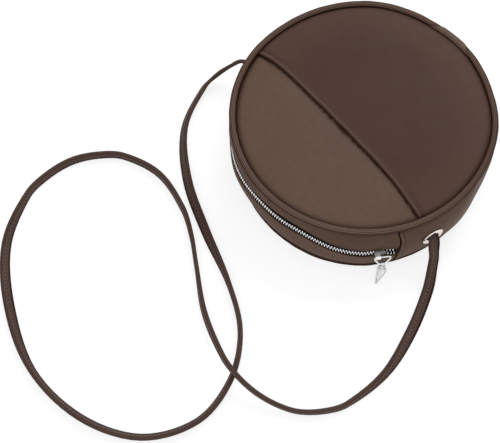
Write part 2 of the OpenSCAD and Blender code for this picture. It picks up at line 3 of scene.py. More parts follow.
import bpy
import numpy as np
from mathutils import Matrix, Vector


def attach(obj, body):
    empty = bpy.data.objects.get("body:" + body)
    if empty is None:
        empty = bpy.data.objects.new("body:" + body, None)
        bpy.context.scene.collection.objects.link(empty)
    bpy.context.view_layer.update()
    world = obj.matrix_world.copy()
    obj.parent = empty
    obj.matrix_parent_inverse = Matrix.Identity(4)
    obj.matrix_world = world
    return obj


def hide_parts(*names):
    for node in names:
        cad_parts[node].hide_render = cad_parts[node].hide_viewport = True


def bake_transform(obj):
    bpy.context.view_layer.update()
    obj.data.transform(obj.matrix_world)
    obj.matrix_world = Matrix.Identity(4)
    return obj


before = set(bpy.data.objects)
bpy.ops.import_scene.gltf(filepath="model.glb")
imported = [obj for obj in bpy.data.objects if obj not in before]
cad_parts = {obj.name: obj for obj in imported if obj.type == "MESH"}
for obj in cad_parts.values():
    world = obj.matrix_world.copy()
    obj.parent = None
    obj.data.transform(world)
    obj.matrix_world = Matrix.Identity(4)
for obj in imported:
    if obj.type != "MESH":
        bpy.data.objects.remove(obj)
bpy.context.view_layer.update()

# Sizes are in millimetres and angles in degrees, measured round the bag from the zip's middle.
MM = 0.001
# Radius and height of the middle of each piping
FRONT_WELT = (92.5, 57.5)
BACK_WELT = (88.5, 2.5)
WELT_R = 2.5
SIDE_LOW, SIDE_HIGH = 5.2, 54.8
PANEL_R = 89.8
ZIP_Z, ZIP_R = 28.5, 93.16
ZIP_END = 60.8
TEETH, TOOTH_PITCH = 93, 2.1
TAPE_DEPTH, TAPE_T = 1.3, 0.7
LINING_DEPTH, LINING_T = 2.2, 0.5
SLIDER_AT = 54.5
EYELET_AT, EYELET_Z, EYELET_CUT_R = 78, 29.5, 5.3

# The stiff zip draws the side in at its middle, lifts it there and pushes it out beside that:
# angle, way out and way up
ZIP_PULL = [
    (-180, 0, 0), (-61, 0, 0), (-45, 0.1, 0.3), (-32, 0, 0.7), (-17, -0.8, 2.3), (-5, -1.9, 3.3),
    (8, -2.5, 3.7), (17, -2.3, 3.6), (26, -1.3, 2.2), (34, -0.1, 0.8), (42, 0.8, -0.3), (48, 0.9, -0.9),
    (52, 0.3, -0.5), (55, 0.1, -0.5), (58, 0.6, -1.3), (61, 0.7, -2), (65, 0.4, -1.3), (71, 0, 0),
    (77, 0, 0), (180, 0, 0),
]
# The side is dented past the right eyelet
SIDE_DENT = [
    (-180, 0), (76, 0), (86, 0), (93, -0.3), (99, 0.3), (103, 1), (107, 1.8), (111, 2), (115, 1.4),
    (119, 0.5), (124, 0.1), (130, 0), (140, 0), (180, 0),
]
# The cross seam beside the slider is drawn into a bow: angle at each height
SEAM_BOW = [(0, -0.6), (10, -0.6), (20, 0), (28, 0.6), (38, 1.3), (46, 1.1), (54, 0.1), (60, 0)]
# The bag lies a little out of round: more so at its front than at its back
FRONT_OUT = [
    (-180, 0.2), (-170, -0.2), (-158, 0.3), (-143, 1), (-120, 0), (-95, -0.8), (-75, -0.1), (-61, 0),
    (85, 0), (105, 0.3), (116, 0.8), (126, 1.4), (137, 1.3), (148, 0.5), (160, 0.5), (170, 0.6),
    (180, 0.2),
]
BACK_OUT = [(-180, 0), (15, 0), (27, 0.8), (37, 1), (47, 1.2), (58, 0.5), (68, 0), (180, 0)]
# How far the folded edges of the two leather strips stand from the middle of the zip
UPPER_EDGE = [
    (-61, 6), (-45, 6.4), (-30, 6.8), (-10, 8.6), (5, 10), (16, 10), (30, 8.4), (44, 6.4), (54, 5.6),
    (61, 5.4),
]
LOWER_EDGE = [(-61, 5.4), (-50, 5.2), (-40, 4.3), (0, 4.1), (40, 4.3), (50, 5.2), (61, 5.4)]
# Rows of points over a strip, as shares of its width
STRIP_ROWS = [
    0, 0.01, 0.025, 0.05, 0.09, 0.15, 0.24, 0.36, 0.5, 0.64, 0.78, 0.86, 0.9, 0.93, 0.96, 0.98, 1,
]

# The pocket's edge in plan, bowed in towards the bottom of the bag
POCKET_EDGE = [
    (-87.6, -20.2), (-76, -18.1), (-63.3, -17.3), (-52, -17.6), (-42.6, -17.9), (-31, -18.5),
    (-22, -18.6), (-9, -19.4), (2.4, -19.7), (15, -20.5), (28.4, -21), (40, -22), (51.2, -22.9),
    (68, -25.7), (85.2, -28.9),
]
POCKET_LEFT, POCKET_RIGHT = POCKET_EDGE[0][0], POCKET_EDGE[-1][0]
# Its folded lip in section: distance in from the edge, and height over the plain leather
LIP_FOLD = [
    (7.5, -1.25), (6.6, -1.2), (5, -1.2), (2.5, -1.15), (0.9, -1.1), (0.3, -0.95), (0, -0.6),
    (0.02, -0.1), (0.15, 0.26), (0.4, 0.46), (0.8, 0.58), (1.2, 0.7), (1.5, 0.82), (1.75, 0.86),
    (2, 0.76), (2.3, 0.48), (2.9, 0.2), (4.2, 0.06), (6, 0),
]

# The strap's way over the table: x, y, height of its underside and its roll
STRAP_W, STRAP_T = 8, 2.6
STRAP_ROUTE = [
    (84, -17.9, 28.8, 0), (94.4, -20.1, 27, 0), (99.1, -24.1, 22.9, 12), (102.1, -26.2, 14.2, 28),
    (104.1, -28.7, 10.5, 34), (113.5, -42.3, 1, 12), (128.1, -73.8, 0, 18), (138.1, -109, 0, 64),
    (136.3, -143.9, 0, 89), (129, -159.2, 0, 95), (117.6, -172, 0, 99), (103.7, -180.4, 2.3, 98),
    (87.6, -185.6, 5, 95), (71.5, -187.4, 9, 92), (53.5, -184.3, 7, 84), (18.6, -169.8, 0.6, 79),
    (-12.8, -149.2, 0, 87), (-32.2, -136.4, 0, 86), (-52.9, -126.4, 0, 84), (-85, -120.6, 0, 86),
    (-113.8, -129.8, 0, 90), (-127.3, -143.2, 0, 89), (-136.6, -160.7, 0, 84), (-139.6, -181.1, 0, 82),
    (-137.1, -201.9, 0, 78), (-116.7, -238.6, 0, 46), (-78.3, -267.6, 0, 26), (-30, -286.9, 0, 56),
    (19.1, -284.7, 0, 50), (58.1, -263.6, 0, 49), (75.7, -227.1, 0, 54), (68.6, -190.2, 0, 65),
    (46.8, -161.2, 0, 80), (15.1, -142.7, 0, 85), (-28.4, -126.3, 0, 50), (-67.9, -108.3, 0, 46),
    (-101, -81.5, 0, 61), (-116.5, -48.5, 1, 63), (-116.3, -34.5, 5, 68), (-111, -25, 14.3, 50),
    (-104.1, -19.9, 22.8, 50), (-94.4, -20.1, 25.1, 66), (-84, -17.9, 25.3, 75),
]
STRAP_STEPS, STITCH_PITCH = 7, 3


# Camera
def added(name, data):
    obj = bpy.data.objects.new(name, data)
    bpy.context.scene.collection.objects.link(obj)
    return obj


def aimed(name, data, at, towards):
    """A camera or lamp at one place that looks towards another."""
    obj = added(name, data)
    obj.location = at
    obj.rotation_mode = "QUATERNION"
    obj.rotation_quaternion = (Vector(towards) - Vector(at)).to_track_quat("-Z", "Y")
    return obj


def make_camera():
    target = Vector((-0.01318, -0.09656, 0))
    azimuth, elevation, distance = math.radians(47.3), math.radians(63.9), 1.3
    level = math.cos(elevation)
    back = (math.sin(azimuth) * level, -math.cos(azimuth) * level, math.sin(elevation))
    data = bpy.data.cameras.new("camera")
    data.sensor_width = 36
    data.lens = 129.3
    bpy.context.scene.camera = aimed("camera", data, target + Vector(back) * distance, target)


make_camera()


# Curves and shares
def eased(t, a, b, slope_a, slope_b):
    """A smooth cubic from a to b with a slope at each end, at a share t of the way."""
    t2, t3 = t * t, t * t * t
    start = a * (2 * t3 - 3 * t2 + 1) + slope_a * (t3 - 2 * t2 + t)
    return start + b * (3 * t2 - 2 * t3) + slope_b * (t3 - t2)


def through(points, x, column=1):
    """A smooth curve through given points, read at x."""
    table = np.array(points, float)
    xs, ys = table[:, 0], table[:, column]
    slope = np.gradient(ys, xs)
    x = np.asarray(x, float)
    i = np.clip(np.searchsorted(xs, x) - 1, 0, len(xs) - 2)
    run = xs[i + 1] - xs[i]
    t = np.clip((x - xs[i]) / run, 0, 1)
    return eased(t, ys[i], ys[i + 1], slope[i] * run, slope[i + 1] * run)


def closed_curve(points, count):
    """A smooth closed curve through given points: one row for each of its two coordinates."""
    around = [(k - 3, *p) for k, p in enumerate(points[-3:] + points + points[:3])]
    t = np.linspace(0, len(points), count, endpoint=False)
    return np.array([through(around, t, 1), through(around, t, 2)])


def step(x, low, high):
    """0 below low, 1 above high, and smooth between them."""
    t = np.clip((np.asarray(x, float) - low) / (high - low), 0, 1)
    return t * t * (3 - 2 * t)


def between(x, low, up, down, high):
    """0 below low, 1 from up to down, 0 above high."""
    return step(x, low, up) * (1 - step(x, down, high))


def hump(x, middle, width):
    """A bump of height 1 over its middle."""
    return np.exp(-(((np.asarray(x, float) - middle) / width) ** 2))


def turned(r, angle, z):
    """Points at radius r and height z, at an angle from the zip's middle."""
    a = np.radians(270 + np.asarray(angle, float))
    r, a, z = np.broadcast_arrays(r, a, z)
    return np.stack([r * np.cos(a), r * np.sin(a), z], axis=-1)


def wrapped(angle):
    """Angles from 0 to 360 as angles from -180 to 180."""
    return np.where(angle > 180, angle - 360, angle)


def unit(directions):
    return directions / np.linalg.norm(directions, axis=-1, keepdims=True)


def share_up(z):
    """How far up the side a height is: 0 at its foot and 1 at its top."""
    return np.clip((np.asarray(z, float) - SIDE_LOW) / (SIDE_HIGH - SIDE_LOW), 0, 1)


def side_face(z):
    """Radius of the side's face before the zip pulls at it."""
    t = share_up(z)
    return 89.7 + 2.8 * t + 3.8 * (1 - np.abs(2 * t**0.8 - 1) ** 3)


def side_at(angle, z, depth=0.0):
    """Points of the soft side, some depth inside its face."""
    angle, z, depth = np.broadcast_arrays(angle, z, depth)
    angle = angle + through(SEAM_BOW, z) * between(angle, 50, 60, 62, 73)
    hold = np.sin(math.pi * share_up(z))
    sag = 0.25 * np.sin(np.radians(angle * 7 + 40)) * np.sin(z / 9)
    sag = (sag + 0.18 * np.sin(np.radians(angle * 13))) * (1 - hump(np.abs(angle), EYELET_AT, 9))
    # At the left the leather over the zip sinks and the leather under it stands out
    lips = between(angle, -41, -27, -27, -6) * (1.2 * hump(z, 19, 6) - 1.5 * hump(z, 38, 8))
    pull = through(ZIP_PULL, angle) - through(SIDE_DENT, angle) + lips
    r = side_face(z) + (pull + sag) * hold - depth
    return turned(r, angle, z + through(ZIP_PULL, angle, 2) * hold)


def dome(r):
    """Height of the front's face."""
    return 58.7 + 4 * (1 - (np.minimum(r, PANEL_R) / PANEL_R) ** 2.5)


def parted(angle):
    """How far the slider has parted the two rows."""
    past = np.radians(np.asarray(angle, float) - SLIDER_AT) * ZIP_R
    return 1.5 * np.clip((past + 3) / 5, 0, 1)


# Meshes
def settled(points):
    """Moves points out or in with the bag's own small departure from round. Far points stay."""
    x, y, z = points.T
    r = np.hypot(x, y)
    angle = wrapped((np.degrees(np.arctan2(y, x)) + 450) % 360)
    out = through(FRONT_OUT, angle) * step(z, 15, 50) + through(BACK_OUT, angle) * (1 - step(z, 4, 18))
    grow = 1 + out * between(r, 30, 92, 100, 115) / np.maximum(r, 1)
    return np.column_stack([x * grow, y * grow, z])


def mark_points(mesh, marks):
    """Gives each point of a mesh the numbers that its finish reads."""
    for name, values in marks.items():
        mark = mesh.attributes.new(name, "FLOAT", "POINT")
        mark.data.foreach_set("value", np.asarray(values, np.float32).ravel())


def piece(name, points, faces, marks=None, sharp=40, firm=False):
    """A mesh object from points in millimetres.
    A firm one doesn't follow the bag's departure from round."""
    points = np.asarray(points, float)
    mesh = bpy.data.meshes.new(name)
    mesh.from_pydata(((points if firm else settled(points)) * MM).tolist(), [], faces)
    mesh.validate()
    mark_points(mesh, marks or {})
    mesh.shade_smooth()
    mesh.set_sharp_from_angle(angle=math.radians(sharp))
    return added(name, mesh)


def outward(obj):
    """Turns the faces of a closed mesh so that they all look out."""
    mesh = obj.data
    mesh.calc_loop_triangles()
    points = np.empty(len(mesh.vertices) * 3, np.float32)
    mesh.vertices.foreach_get("co", points)
    corners = np.empty(len(mesh.loop_triangles) * 3, np.int32)
    mesh.loop_triangles.foreach_get("vertices", corners)
    a, b, c = points.reshape(-1, 3)[corners].reshape(-1, 3, 3).transpose(1, 0, 2)
    if np.sum(a * np.cross(b, c)) < 0:
        mesh.flip_normals()
    return obj


def strips(n, m, closed_rings, closed_path):
    """The faces between n rings of m points each."""
    faces = []
    for i in range(n if closed_path else n - 1):
        for j in range(m if closed_rings else m - 1):
            a, b, k = i * m, (i + 1) % n * m, (j + 1) % m
            faces.append((a + j, a + k, b + k, b + j))
    return faces


def swept(centre, across, out, section):
    """Rings of points: a flat section carried along a line."""
    return centre[:, None] + across[:, None] * section[:, :1] + out[:, None] * section[:, 1:]


def lofted(name, rings, marks=None, closed_rings=True, closed_path=False, sharp=40, firm=False):
    """Skins rings of points, one after the other, and closes the ends."""
    n, m = rings.shape[:2]
    faces = strips(n, m, closed_rings, closed_path)
    if closed_rings and not closed_path:
        faces.append(tuple(range(m - 1, -1, -1)))
        faces.append(tuple((n - 1) * m + j for j in range(m)))
    if closed_path and not closed_rings:
        faces.append(tuple(i * m for i in range(n)))
        faces.append(tuple(i * m + m - 1 for i in range(n - 1, -1, -1)))
    full = {mark: np.broadcast_to(values, (n, m)) for mark, values in (marks or {}).items()}
    return outward(piece(name, rings.reshape(-1, 3), faces, full, sharp, firm))


def layer(name, outer, inner, marks):
    """A thin layer with an outer and an inner face."""
    return lofted(name, np.concatenate([outer, inner], axis=1), marks)


def many(name, shape_points, shape_faces, places, marks=None, sharp=40):
    """One mesh of many copies of a small shape, each at its place: an origin and three directions."""
    points, faces = [], []
    for origin, x, y, z in places:
        start = len(points) * len(shape_points)
        turn = np.array([x, y, z])
        points.append(shape_points @ turn + origin)
        faces.extend(tuple(start + k for k in f) for f in shape_faces)
    return piece(name, np.concatenate(points), faces, marks, sharp)


def pillow(length, width, height):
    """A small rounded grain, such as one stitch: points and faces."""
    along, around = 8, 8
    t = math.pi * np.arange(1, along)[:, None] / along
    a = 2 * math.pi * np.arange(around) / around
    swell = np.sin(t) ** 0.6 / 2
    rows = [-length / 2 * np.cos(t), width * swell * np.cos(a), height * swell * np.sin(a)]
    rows = np.stack(np.broadcast_arrays(*rows), axis=-1).reshape(-1, 3)
    points = np.vstack([[(-length / 2, 0, 0), (length / 2, 0, 0)], rows])
    faces = [tuple(2 + k for k in face) for face in strips(along - 1, around, True, False)]
    last = 2 + (along - 2) * around
    for j in range(around):
        k = (j + 1) % around
        faces += [(0, 2 + k, 2 + j), (1, last + j, last + k)]
    return points, faces


# Finishes
class Value:
    """What a node gives. Python's operators on it add Math nodes."""

    def __init__(self, nodes, socket):
        self.nodes, self.socket = nodes, socket

    def math(self, operation, *inputs):
        return self.nodes.value("ShaderNodeMath", {"operation": operation}, dict(enumerate(inputs)))

    def __add__(self, other):
        return self.math("ADD", self, other)

    def __sub__(self, other):
        return self.math("SUBTRACT", self, other)

    def __rsub__(self, other):
        return self.math("SUBTRACT", other, self)

    def __mul__(self, other):
        return self.math("MULTIPLY", self, other)

    __radd__, __rmul__ = __add__, __mul__

    def sin(self):
        return self.math("SINE", self)

    def size(self):
        return self.math("ABSOLUTE", self)

    def larger(self, other):
        return self.math("MAXIMUM", self, other)

    def clamp(self):
        return self.nodes.value("ShaderNodeClamp", {}, {"Value": self})


class Nodes:
    """A tree of nodes and the ways to add to it."""

    def __init__(self, tree):
        self.tree = tree

    def feed(self, node, inputs):
        """Gives inputs of a node a constant or a link."""
        for name, given in inputs.items():
            if isinstance(given, Value):
                self.tree.links.new(given.socket, node.inputs[name])
            else:
                node.inputs[name].default_value = given

    def value(self, kind, settings, inputs, output=0):
        """Adds a node, with its settings first and then its inputs, and gives one of its outputs."""
        node = self.tree.nodes.new(kind)
        for name, given in settings.items():
            setattr(node, name, given)
        self.feed(node, inputs)
        return Value(self, node.outputs[output])

    def seen(self):
        """1 where the camera or a shiny surface looks, and 0 for other light."""
        shiny = self.value("ShaderNodeLightPath", {}, {}, "Is Glossy Ray")
        return self.value("ShaderNodeLightPath", {}, {}, "Is Camera Ray").larger(shiny)


class Finish(Nodes):
    """A material made of nodes round one shader."""

    def __init__(self, name, **constants):
        self.material = bpy.data.materials.new(name)
        self.material.use_nodes = True
        super().__init__(self.material.node_tree)
        self.shader = self.tree.nodes["Principled BSDF"]
        self.feed(self.shader, {k.replace("_", " "): v for k, v in constants.items()})
        self.place = self.value("ShaderNodeTexCoord", {}, {}, "Object")

    def mark(self, name):
        return self.value("ShaderNodeAttribute", {"attribute_name": name}, {}, "Fac")

    def noise(self, scale, detail=2, roughness=0.5):
        inputs = {"Vector": self.place, "Scale": scale, "Detail": detail, "Roughness": roughness}
        return self.value("ShaderNodeTexNoise", {}, inputs)

    def cells(self, scale):
        return self.value("ShaderNodeTexVoronoi", {}, {"Vector": self.place, "Scale": scale})

    def mix(self, share, a, b):
        return self.value("ShaderNodeMix", {"data_type": "RGBA"}, {0: share, 6: a, 7: b}, 2)

    def paint(self, colour, roughness, height, depth, strength):
        bumps = {"Height": height, "Distance": depth, "Strength": strength}
        normal = self.value("ShaderNodeBump", {}, bumps)
        self.feed(self.shader, {"Base Color": colour, "Roughness": roughness, "Normal": normal})

    def show_instead(self, share, other):
        """Shows another shader in place of the main one, by a share."""
        main = Value(self, self.shader.outputs[0])
        both = self.value("ShaderNodeMixShader", {}, {0: share, 1: main, 2: other})
        self.feed(self.tree.nodes["Material Output"], {"Surface": both})

    def wear(self, obj):
        obj.data.materials.clear()
        obj.data.materials.append(self.material)


def shade(r, g, b):
    """A colour from its 0 to 255 values, in the linear numbers that sockets take."""
    def linear(c):
        c = c / 255
        return c / 12.92 if c <= 0.04045 else ((c + 0.055) / 1.055) ** 2.4

    return (linear(r), linear(g), linear(b), 1)


def smooth_leather(name, colour, light, roughness=0.5, grain=0.5, gloss=0.11):
    """Finished leather: soft mottling and fine pores, with painted shade and painted light where its
    marks ask.
    """
    finish = Finish(name, Specular_IOR_Level=gloss)
    cloud = finish.noise(16, 3, 0.55)
    mottle = finish.noise(120, 3, 0.6)
    pores = finish.cells(1500)
    fine = finish.noise(3200, 2, 0.6)
    creases = finish.noise(60, 4, 0.65)
    base = finish.mix((cloud * 1.6 - 0.3).clamp(), colour, light)
    base = finish.mix((mottle - 0.5).size() * 0.5, base, shade(46, 34, 29))
    base = finish.mix((0.35 - pores).clamp() * 0.5, base, shade(40, 30, 26))
    # Painted shade: darker at seams, folds, edges and the foot
    base = finish.mix(finish.mark("painted_shade") * 0.92, base, shade(38, 19, 14))
    # Painted light: highlights on ridges and lips, and light thrown up from the table
    base = finish.mix(finish.mark("painted_light") * 0.65, base, shade(130, 109, 95))
    rough = roughness + (mottle - 0.5) * 0.22 + (cloud - 0.5) * 0.12
    finish.paint(base, rough, pores * 0.55 + fine * 0.3 + creases * 1.5 * grain, 0.00012, 0.28)
    # Where shade is painted the leather has no gloss
    dull = finish.value("ShaderNodeBsdfDiffuse", {}, {"Color": base})
    finish.show_instead((finish.mark("painted_shade") * 2).clamp(), dull)
    return finish


def woven_cloth(name, colour, light, thread=0.0006, roughness=0.85, sheen=0.25, gloss=0.2):
    """Plain cloth: threads over and under each other along and across the piece."""
    finish = Finish(name, Sheen_Weight=sheen, Specular_IOR_Level=gloss)
    turn = 2 * math.pi / thread
    warp = (finish.mark("along") * turn).sin()
    weft = (finish.mark("across") * turn).sin()
    weave = warp * weft
    fuzz = finish.noise(900, 3, 0.6)
    base = finish.mix((weave * 0.35 + 0.5).clamp(), colour, light)
    base = finish.mix((fuzz - 0.4).clamp() * 0.5, base, light)
    height = weave * 0.5 + (warp + weft) * 0.2 + fuzz * 0.3
    finish.paint(base, roughness + (fuzz - 0.5) * 0.2, height, 0.0001, 0.5)
    return finish


def polished_metal(name, colour, dull, roughness=0.16, metallic=1.0):
    """Plated metal with faint scratches and a dull film in places, and painted shade in its grooves."""
    finish = Finish(name, Metallic=metallic)
    film = finish.noise(260, 3, 0.6)
    scratch = finish.noise(2600, 4, 0.7)
    base = finish.mix((film * 1.4 - 0.4).clamp(), colour, dull)
    # Painted shade in grooves, on edges and on the slider's plates, where a piece's marks ask
    base = finish.mix(finish.mark("painted_shade") * 0.9, base, shade(36, 33, 31))
    rough = roughness + (film - 0.4).clamp() * 0.25 + (scratch - 0.5).size() * 0.2
    finish.paint(base, rough, scratch * 0.5 + film * 0.5, 0.00004, 0.25)
    return finish


def open_foam():
    finish = Finish("foam", Specular_IOR_Level=0.1)
    bubbles = finish.cells(1400)
    cloud = finish.noise(80, 2)
    base = finish.mix(bubbles.clamp(), shade(196, 190, 176), shade(232, 228, 216))
    base = finish.mix((cloud - 0.45).clamp(), base, shade(206, 188, 150))
    finish.paint(base, 0.9 - bubbles * 0.1, bubbles, 0.0003, 0.8)
    return finish


def spun_thread(name, colour, light):
    finish = Finish(name, Sheen_Weight=0.3, Specular_IOR_Level=0.3)
    fibre = finish.noise(5200, 3, 0.7)
    base = finish.mix((fibre * 1.5 - 0.3).clamp(), colour, light)
    finish.paint(base, 0.6 + (fibre - 0.5) * 0.3, fibre, 0.00006, 0.6)
    return finish


PANEL_LEATHER = smooth_leather("panel_leather", shade(90, 69, 58), shade(98, 77, 64), 0.48)
POCKET_LEATHER = smooth_leather("pocket_leather", shade(66, 43, 35), shade(72, 50, 41), 0.5)
SIDE_LEATHER = smooth_leather("side_leather", shade(84, 62, 51), shade(94, 73, 59), 0.6, gloss=0.08)
WELT_LEATHER = smooth_leather("welt_leather", shade(74, 56, 48), shade(86, 67, 57), 0.46, 0.3, 0.08)
STRAP_LEATHER = smooth_leather("strap_leather", shade(76, 58, 52), shade(91, 73, 66), 0.55, 0.6, 0.09)
LINING_CLOTH = woven_cloth("lining_cloth", shade(52, 43, 39), shade(74, 63, 57))
TAPE_CLOTH = woven_cloth("tape_cloth", shade(14, 10, 8), shade(27, 20, 17), 0.0009, 0.9, 0, 0)
FOAM = open_foam()
CORD_THREAD = spun_thread("cord_thread", shade(190, 182, 166), shade(222, 215, 200))
STITCH_THREAD = spun_thread("stitch_thread", shade(104, 81, 68), shade(130, 104, 90))
ZIP_METAL = polished_metal("zip_metal", shade(236, 236, 238), shade(196, 195, 196), 0.14)
TEETH_METAL = polished_metal("teeth_metal", shade(254, 253, 251), shade(240, 238, 234), 0.2, 0.65)
EYELET_METAL = polished_metal("eyelet_metal", shade(236, 226, 217), shade(196, 184, 174), 0.12)


def dressed(obj, finish, slot, body, *nodes):
    """Gives a piece its finish, the CAD nodes that it stands for and its body; the slot is not used.
    Pieces of the front are attached to no body: their place is baked into their points."""
    finish.wear(obj)
    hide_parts(*nodes)
    if body == "front":
        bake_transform(obj)
    else:
        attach(obj, body)


# Strap
def strap_line():
    """Middle and roll along the strap, by the same smooth curve as the solid strap."""
    points = np.array(STRAP_ROUTE, float)
    points[:, 2] = np.maximum(points[:, 2], 0.1)
    runs = np.linalg.norm(np.diff(points[:, :3], axis=0), axis=1)[:, None]
    slopes = np.empty_like(points)
    slopes[0] = (points[1] - points[0]) / runs[0]
    slopes[-1] = (points[-1] - points[-2]) / runs[-1]
    slopes[1:-1] = (points[2:] - points[:-2]) / (runs[1:] + runs[:-1])
    leave, arrive = slopes[:-1] * runs, slopes[1:] * runs
    t = np.arange(STRAP_STEPS)[:, None] / STRAP_STEPS
    line = eased(t, points[:-1, None], points[1:, None], leave[:, None], arrive[:, None])
    line = np.vstack([line.reshape(-1, 4), points[-1:]])
    roll = np.radians(line[:, 3])
    half = (STRAP_W * np.abs(np.sin(roll)) + STRAP_T * np.abs(np.cos(roll))) / 2
    line[:, 2] = np.maximum(line[:, 2], 0.1) + half
    return line[:, :3], roll


def strap_axes(centre, roll):
    """The directions along the strap, across it and out of its face, at each point."""
    ahead = np.vstack([centre[1:], centre[-1:]])
    behind = np.vstack([centre[:1], centre[:-1]])
    along = unit(ahead - behind)
    level = unit(np.cross(along, [0, 0, 1]))
    up = np.cross(level, along)
    c, s = np.cos(roll)[:, None], np.sin(roll)[:, None]
    return along, level * c + up * s, up * c - level * s


def make_strap():
    centre, roll = strap_line()
    along, across, out = strap_axes(centre, roll)
    half_w, half_t, corner = STRAP_W / 2, STRAP_T / 2, 0.8
    # Cross section: rounded edges, and faces that swell a little beside a sunk seam
    face = np.linspace(half_w - corner, corner - half_w, 11)
    swell = half_t + 0.12 - 0.3 * hump(face, 0, 0.5) - 0.1 * (face / half_w) ** 2
    turn = np.radians(np.linspace(90, -90, 7)[1:-1])
    over = np.column_stack([face, swell])
    under = np.column_stack([face[::-1], -swell[::-1]])
    left = np.column_stack([corner - half_w - corner * np.cos(turn), half_t * np.sin(turn)])
    section = np.concatenate([over, left, under, -left])
    # Open edge: dark edge paint and painted shade beside it. Folded edge and sunk seam: a little painted
    # shade.
    x = section[:, 0]
    open_edge = 0.9 * step(-x, half_w - 2.7, half_w - 1.1)
    folded = 0.45 * hump(x, half_w - 0.9, 0.5) + 0.12 * step(x, half_w - 0.8, half_w - 0.4)
    painted_shade = np.maximum.reduce([open_edge, folded, 0.45 * hump(x, 0, 0.45)])
    strap = lofted("strap", swept(centre, across, out, section), {"painted_shade": painted_shade})
    runs = np.linalg.norm(np.diff(centre, axis=0), axis=1)
    return strap, centre, np.append(0, np.cumsum(runs)), along, across, out


def make_strap_stitches(centre, length, along, across, out):
    """Slanting stitches beside the middle of both faces."""
    at = np.arange(12, length[-1] - 12, STITCH_PITCH)
    centre, along, across, out = (
        np.stack([np.interp(at, length, line[:, i]) for i in range(3)], axis=1)
        for line in (centre, along, across, out)
    )
    forward, aside = along * 0.87 + across * 0.5, across * 0.87 - along * 0.5
    places = []
    for k in range(len(at)):
        for face in (out[k], -out[k]):
            middle = centre[k] + face * (STRAP_T / 2 - 0.06) + across[k] * 0.5
            places.append((middle, forward[k], aside[k], face))
    return many("strap_stitches", *pillow(1.9, 0.5, 0.45), places)


def make_knots():
    """The strap's ends, each tied in one tight overhand knot behind its washer."""
    t = np.linspace(0, 2 * math.pi, 120, endpoint=False)
    loop = [np.sin(t) + 2 * np.sin(2 * t), np.cos(t) - 2 * np.cos(2 * t), -1.6 * np.sin(3 * t)]
    loop = 1.28 * np.stack(loop, axis=1)
    along = unit(np.roll(loop, -1, axis=0) - np.roll(loop, 1, axis=0))
    across = unit(np.cross(along, loop))
    around = np.linspace(0, 2 * math.pi, 12, endpoint=False)
    section = np.column_stack([2.3 * np.cos(around), 1.6 * np.sin(around)])
    rings = swept(loop, across, np.cross(across, along), section)
    places = [(turned(81.5, side * EYELET_AT, 30), *np.eye(3)) for side in (-1, 1)]
    # Painted shade down two opposite sides of the knotted tube, where its turns press together
    painted_shade = np.tile(0.7 * np.abs(np.cos(around)) ** 6, len(places) * len(t))
    faces = strips(len(t), len(around), True, True)
    return many("strap_knots", rings.reshape(-1, 3), faces, places, {"painted_shade": painted_shade})


strap, strap_centre, strap_length, strap_along, strap_across, strap_out = make_strap()
strap_stitches = make_strap_stitches(strap_centre, strap_length, strap_along, strap_across, strap_out)
strap_knots = outward(make_knots())
dressed(strap, STRAP_LEATHER, "strap_leather", "bag", "strap")
dressed(strap_stitches, STITCH_THREAD, "strap_leather", "bag")
dressed(strap_knots, STRAP_LEATHER, "strap_leather", "bag", "strap_knots")
(strap_centre * MM).tolist()


# Front: the leather under the pocket, its foam and lining
def round_layer(name, radii, top, bottom, segments, marks=None):
    """A full round layer: top and bottom give the heights at the radii, for each angle.
    Each mark is a function of the points."""
    angle = np.linspace(0, 360, segments, endpoint=False)[:, None]
    back = radii[::-1]
    rings = [turned(radii, angle, top(radii, angle)), turned(back, angle, bottom(back, angle))]
    rings = np.concatenate(rings, axis=1)
    full = {mark: rule(rings) for mark, rule in (marks or {}).items()}
    return lofted(name, rings, full, closed_rings=False, closed_path=True)


def fine_to_rim(rim, count):
    """Radii from the middle out, closer together near the rim."""
    t = np.linspace(0, 1, count)
    return 0.5 + (rim - 0.5) * (1 - (1 - t) ** 1.9)


def past_pocket_edge(at):
    """How far points lie from the pocket's edge, away from the bottom of the bag."""
    return at[..., 1] - through(POCKET_EDGE, np.clip(at[..., 0], POCKET_LEFT, POCKET_RIGHT))


def make_front_leather():
    def top(r, angle):
        at = turned(r, angle, 0)
        dip = 0.3 * hump(past_pocket_edge(at), 1.5, 3)
        pucker = 0.1 * np.sin(np.radians(angle) * 46) * step(r, 80, 86)
        soft = 0.25 * np.sin(at[..., 0] / 17 + 1) * np.sin(at[..., 1] / 23) * (1 - step(r, 70, 86))
        rim = 1.65 * step(r, 86.4, 90.4) ** 1.4 - 0.75 * step(r, 90.2, 91.2)
        return dome(r) - 1.85 - rim - dip + pucker + soft

    def bottom(r, angle):
        return dome(r) - 3.05 - 1.35 * step(r, 86.5, 90.2)

    # Painted shade along the seam at the rim, and a painted shadow from the pocket's lip, darkest right
    # at it
    def painted_shade(at):
        r = np.hypot(at[..., 0], at[..., 1])
        gap = past_pocket_edge(at)
        near_pocket = 0.1 * step(gap, -5, 0) + 0.8 * step(gap, -0.6, 0)
        return np.maximum(0.75 * step(r, 88.6, 89.7) + 0.2 * step(r, 84, 89), near_pocket)

    radii = np.append(fine_to_rim(89.9, 44), [90.5, 91.2])
    return round_layer("front_leather", radii, top, bottom, 300, {"painted_shade": painted_shade})


